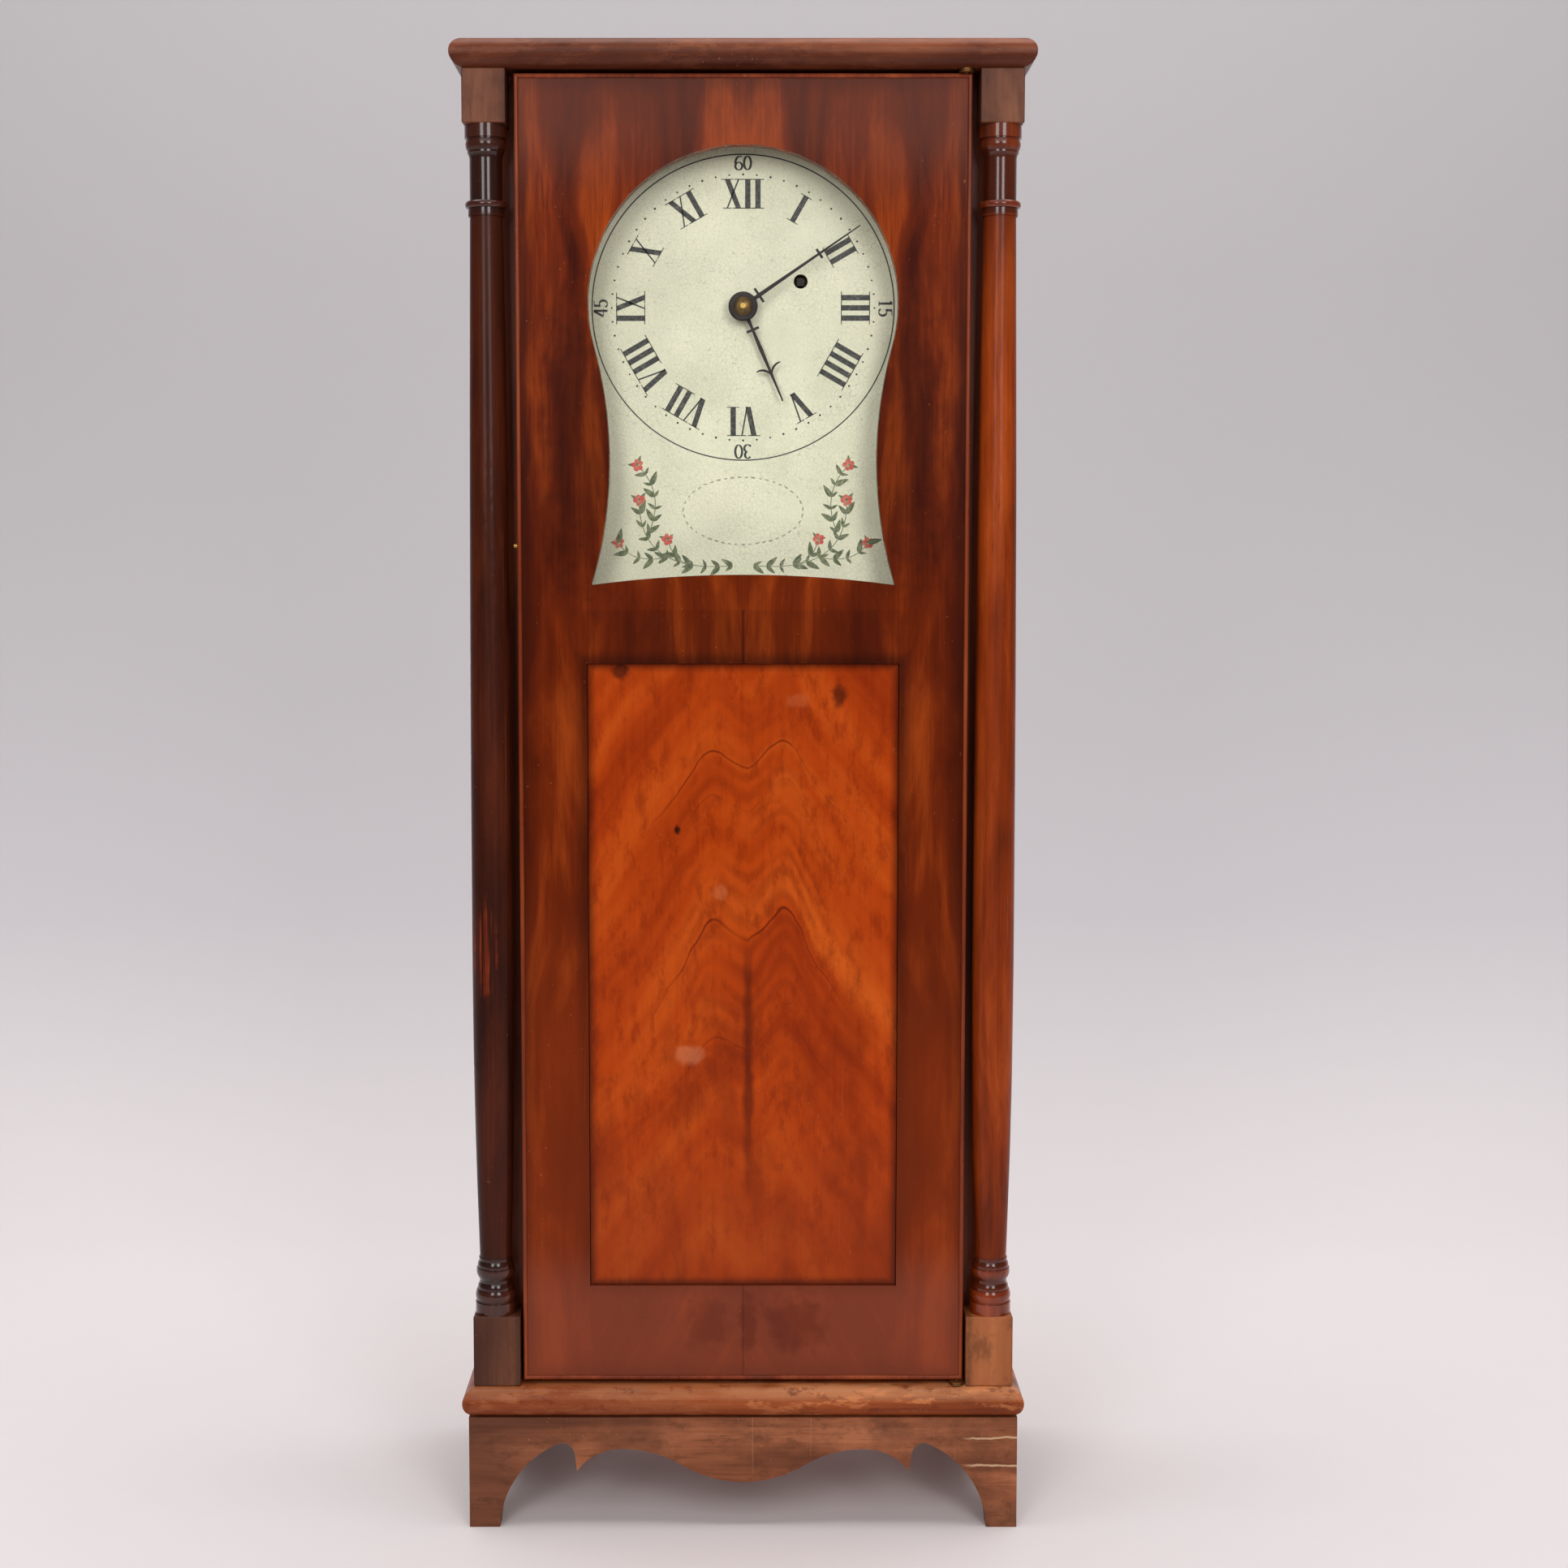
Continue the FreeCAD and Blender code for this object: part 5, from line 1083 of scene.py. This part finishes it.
screw_shape = bmesh.new()
drum(screw_shape, shank_radius, head_height - screw_long, 0.0, shank_sides)
drum(screw_shape, head_radius, 0.0, slot_floor, head_sides)
edge = math.asin(slot_half / head_radius)
turns = [edge + (math.pi - 2 * edge) * i / moon_steps for i in range(moon_steps + 1)]
for side in (-1, 1):
    half_moon = [(head_radius * math.cos(a), side * head_radius * math.sin(a)) for a in turns]
    low = [screw_shape.verts.new((x, y, slot_floor)) for x, y in half_moon]
    # The top is a little smaller, but the slot's own walls stay upright.
    inset = [(head_taper * x, head_taper * y if abs(y) > 1.5 * slot_half else y) for x, y in half_moon]
    high = [screw_shape.verts.new((x, y, head_height)) for x, y in inset]
    screw_shape.faces.new(low)
    screw_shape.faces.new(high)
    wall(screw_shape, low, high)
pattern = placed("screw_pattern", mesh_from("slotted_screw", screw_shape))
print("one screw:", len(pattern.data.polygons), "faces")

# %% Screws set in place
screw_tree, entry, leave = new_growth("Set screws", Screw="Object", Metal="Material")
screw = add("GeometryNodeObjectInfo", {"Object": entry["Screw"]}, "Geometry")
turn = add("GeometryNodeInputNamedAttribute", {"Name": "turn"}, 0, screw_tree, data_type="FLOAT_VECTOR")
set_screws = {"Points": entry["Geometry"], "Instance": screw, "Rotation": turn}
end_growth(add("GeometryNodeInstanceOnPoints", set_screws), entry["Metal"], leave)

back_turn, seat_turn = math.radians(37), math.radians(61)
seats, turned = [], []
for i, (low, high) in enumerate(back_screws):
    seats.append(((low.x + high.x) / 2, high.y - head_height, (low.z + high.z) / 2))
    turned += [-math.pi / 2, back_turn * i, 0]
for i, (low, high) in enumerate(seat_screws):
    seats.append(((low.x + high.x) / 2, (low.y + high.y) / 2, high.z - head_height))
    turned += [0, 0, seat_turn * i]
screw_points = bpy.data.meshes.new("screw_points")
screw_points.from_pydata(seats, [], [])
screw_points.attributes.new("turn", "FLOAT_VECTOR", "POINT").data.foreach_set("vector", turned)
screws = grown("slotted_screws", screw_tree, screw_points, Screw=pattern, Metal=iron)
bpy.data.objects.remove(pattern)
slotted = add_piece(screws, iron)
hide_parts("wood_screws")
print("slotted screws:", len(screws.polygons), "faces")

# %% [markdown]
# ## The weight's line
# A gut line runs from the drum down to the weight's pulley and up again to its anchor. As the weight is wound
# up, both falls grow shorter. Each fall is a piece of its own, and the half turn round the pulley goes with the
# weight. Twisted gut is a tube with three soft ridges that wind round it.

# %% Twisted gut
line_low, line_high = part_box("weight_line")
pulley_low, pulley_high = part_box("pulley_wheel")
pulley_z = (pulley_low.z + pulley_high.z) / 2
line_y = (line_low.y + line_high.y) / 2
line_radius = (line_high.y - line_low.y) / 2
fall_x = line_high.x - line_radius
anchor_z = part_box("line_anchor")[0].z
lift = next(joint for joint in frame["joints"] if joint["name"] == "weight_lift")
rise = max(lift["range_m"])
strands, ridge_depth, twist = 3, 0.06, 900
x_way, y_way = Vector((1, 0, 0)), Vector((0, 1, 0))


def gut_tube(name, route, sides=12):
    """A tube along a route of (point, side, other side, distance), ridged as twisted gut."""
    shape = bmesh.new()
    rings = []
    for point, across, beside, distance in route:
        loop = []
        for angle in (2 * math.pi * k / sides for k in range(sides)):
            ridge = 1 - ridge_depth + ridge_depth * math.cos(strands * angle - distance * twist)
            out = across * math.cos(angle) + beside * math.sin(angle)
            loop.append(shape.verts.new(point + out * line_radius * ridge))
        rings.append(loop)
    for first, second in zip(rings, rings[1:]):
        wall(shape, first, second)
    shape.faces.new(list(reversed(rings[0])))
    shape.faces.new(rings[-1])
    return mesh_from(name, shape, smooth=True)


def upright(x, low, high, steps=160):
    """The route of a straight fall."""
    heights = [low + (high - low) * i / steps for i in range(steps + 1)]
    return [(Vector((x, line_y, z)), x_way, y_way, z) for z in heights]


def round_pulley(steps=60):
    """The route of the half turn under the pulley."""
    route = []
    for angle in (math.pi + math.pi * i / steps for i in range(steps + 1)):
        out = Vector((math.cos(angle), 0, math.sin(angle)))
        route.append((Vector((0, line_y, pulley_z)) + out * fall_x, out, y_way, fall_x * angle))
    return route


made = new_material("Gut line", Roughness=0.5)
strand = noise(made.place, 900.0)
tan = ramp(strand, (0.3, srgb(112, 84, 50)), (0.7, srgb(186, 152, 102)))
fill(made.shader, {"Base Color": tan, "Roughness": strand * 0.3 + 0.3})
bump(made, strand, 0.2, 0.0002)
gut = made.material
print("line radius", line_radius, "falls at", fall_x, "rise", rise)

# %% Falls and the turn round the pulley
falls = ((fall_x, line_high.z, "line_to_drum"), (-fall_x, anchor_z, "line_to_anchor"))
for x, top, name in falls:
    fall = add_piece(gut_tube(name, upright(x, pulley_z, top)), gut)
    whole = top - pulley_z
    (whole - rise) / whole
    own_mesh(fall)
wrap = add_piece(gut_tube("line_round_pulley", round_pulley()), gut, "weight")
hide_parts("weight_line")
print("line falls", [round(top - pulley_z, 4) for x, top, name in falls])

# %% [markdown]
# ## The studio
# The clock stands on a pale floor that sweeps up into a plain grey wall. Two soft lamps from the front sides
# draw the long double highlights on the columns, a wide one high in front evens the light, and the strongest,
# overhead, lights the top board and the floor. Their level is plain: a colour comes out about as written.

# %% Floor and backdrop
half_room, floor_front, floor_back, wall_top = 9.0, -4.0, 0.55, 7.0
bend_radius, bend_steps = 0.9, 16
sweep = [(floor_front, 0.0), (floor_back, 0.0)]
for a in (math.pi / 2 * i / bend_steps for i in range(1, bend_steps + 1)):
    sweep.append((floor_back + bend_radius * math.sin(a), bend_radius * (1 - math.cos(a))))
sweep.append((sweep[-1][0], wall_top))
room = bmesh.new()
left, right = [[room.verts.new((x, y, z)) for y, z in sweep] for x in (-half_room, half_room)]
for i in range(len(sweep) - 1):
    room.faces.new((left[i], right[i], right[i + 1], left[i + 1]))
backdrop = placed("studio_sweep", mesh_from("studio_sweep", room, closed=False, smooth=True))
made = new_material("Studio paper", Roughness=0.9, Specular_IOR_Level=0.1)
x, y, z = axes(made.place)
up_wall = fade(y * 0.5 + z, 0.15, 1.5)
greys = ((0.0, srgb(242, 235, 235)), (0.4, srgb(216, 211, 215)), (1.0, srgb(202, 198, 200)))
made.colour = ramp(up_wall, *greys)
made.colour = mix(fade(y, -0.5, -1.3), made.colour, srgb(168, 164, 166))
paint(made, noise(made.place, 30.0), (180, 174, 176), 0.03)
fill(made.shader, {"Base Color": made.colour})
backdrop.data.materials.append(made.material)
print("backdrop", len(backdrop.data.polygons), "faces")

# %% Lamps and world
clock_middle, floor_middle = Vector((0, 0, 0.45)), Vector((0, 0.05, 0))
lamps = (
    ("left softbox", (-0.8, -2.4, 1.2), clock_middle, 0.7, 1.0, 13),
    ("right softbox", (0.8, -2.4, 1.2), clock_middle, 0.7, 1.0, 15),
    ("high softbox", (0, -1.8, 1.8), clock_middle, 2.4, 1.0, 10),
    ("overhead softbox", (0, 0.05, 2.7), floor_middle, 3.2, 1.6, 54),
)
for name, place, target, width, height, watts in lamps:
    data = bpy.data.lights.new(name, "AREA")
    data.shape = "RECTANGLE"
    data.size, data.size_y, data.energy = width, height, watts
    light = placed(name, data)
    light.location = place
    light.rotation_euler = (target - Vector(place)).to_track_quat("-Z", "Y").to_euler()
world = bpy.data.worlds.new("Studio air")
world.use_nodes = True
air = world.node_tree.nodes["Background"].inputs
air["Color"].default_value = srgb(232, 228, 230)
air["Strength"].default_value = 0.14
scene.world = world
print(len(lamps), "lamps")

# %% Camera
camera_data = bpy.data.cameras.new("Camera")
camera_data.sensor_width = 36.0
camera_data.lens = 56.14
camera_data.shift_x = 0.0261
camera = placed("Camera", camera_data)
camera.location = (0, -1.44594, 0.5493)
camera.rotation_euler = (math.radians(84.955), 0, 0)
scene.camera = camera
print("camera", camera.location[:], "lens", camera_data.lens)

# %% Update the view layer
bpy.context.view_layer.update()
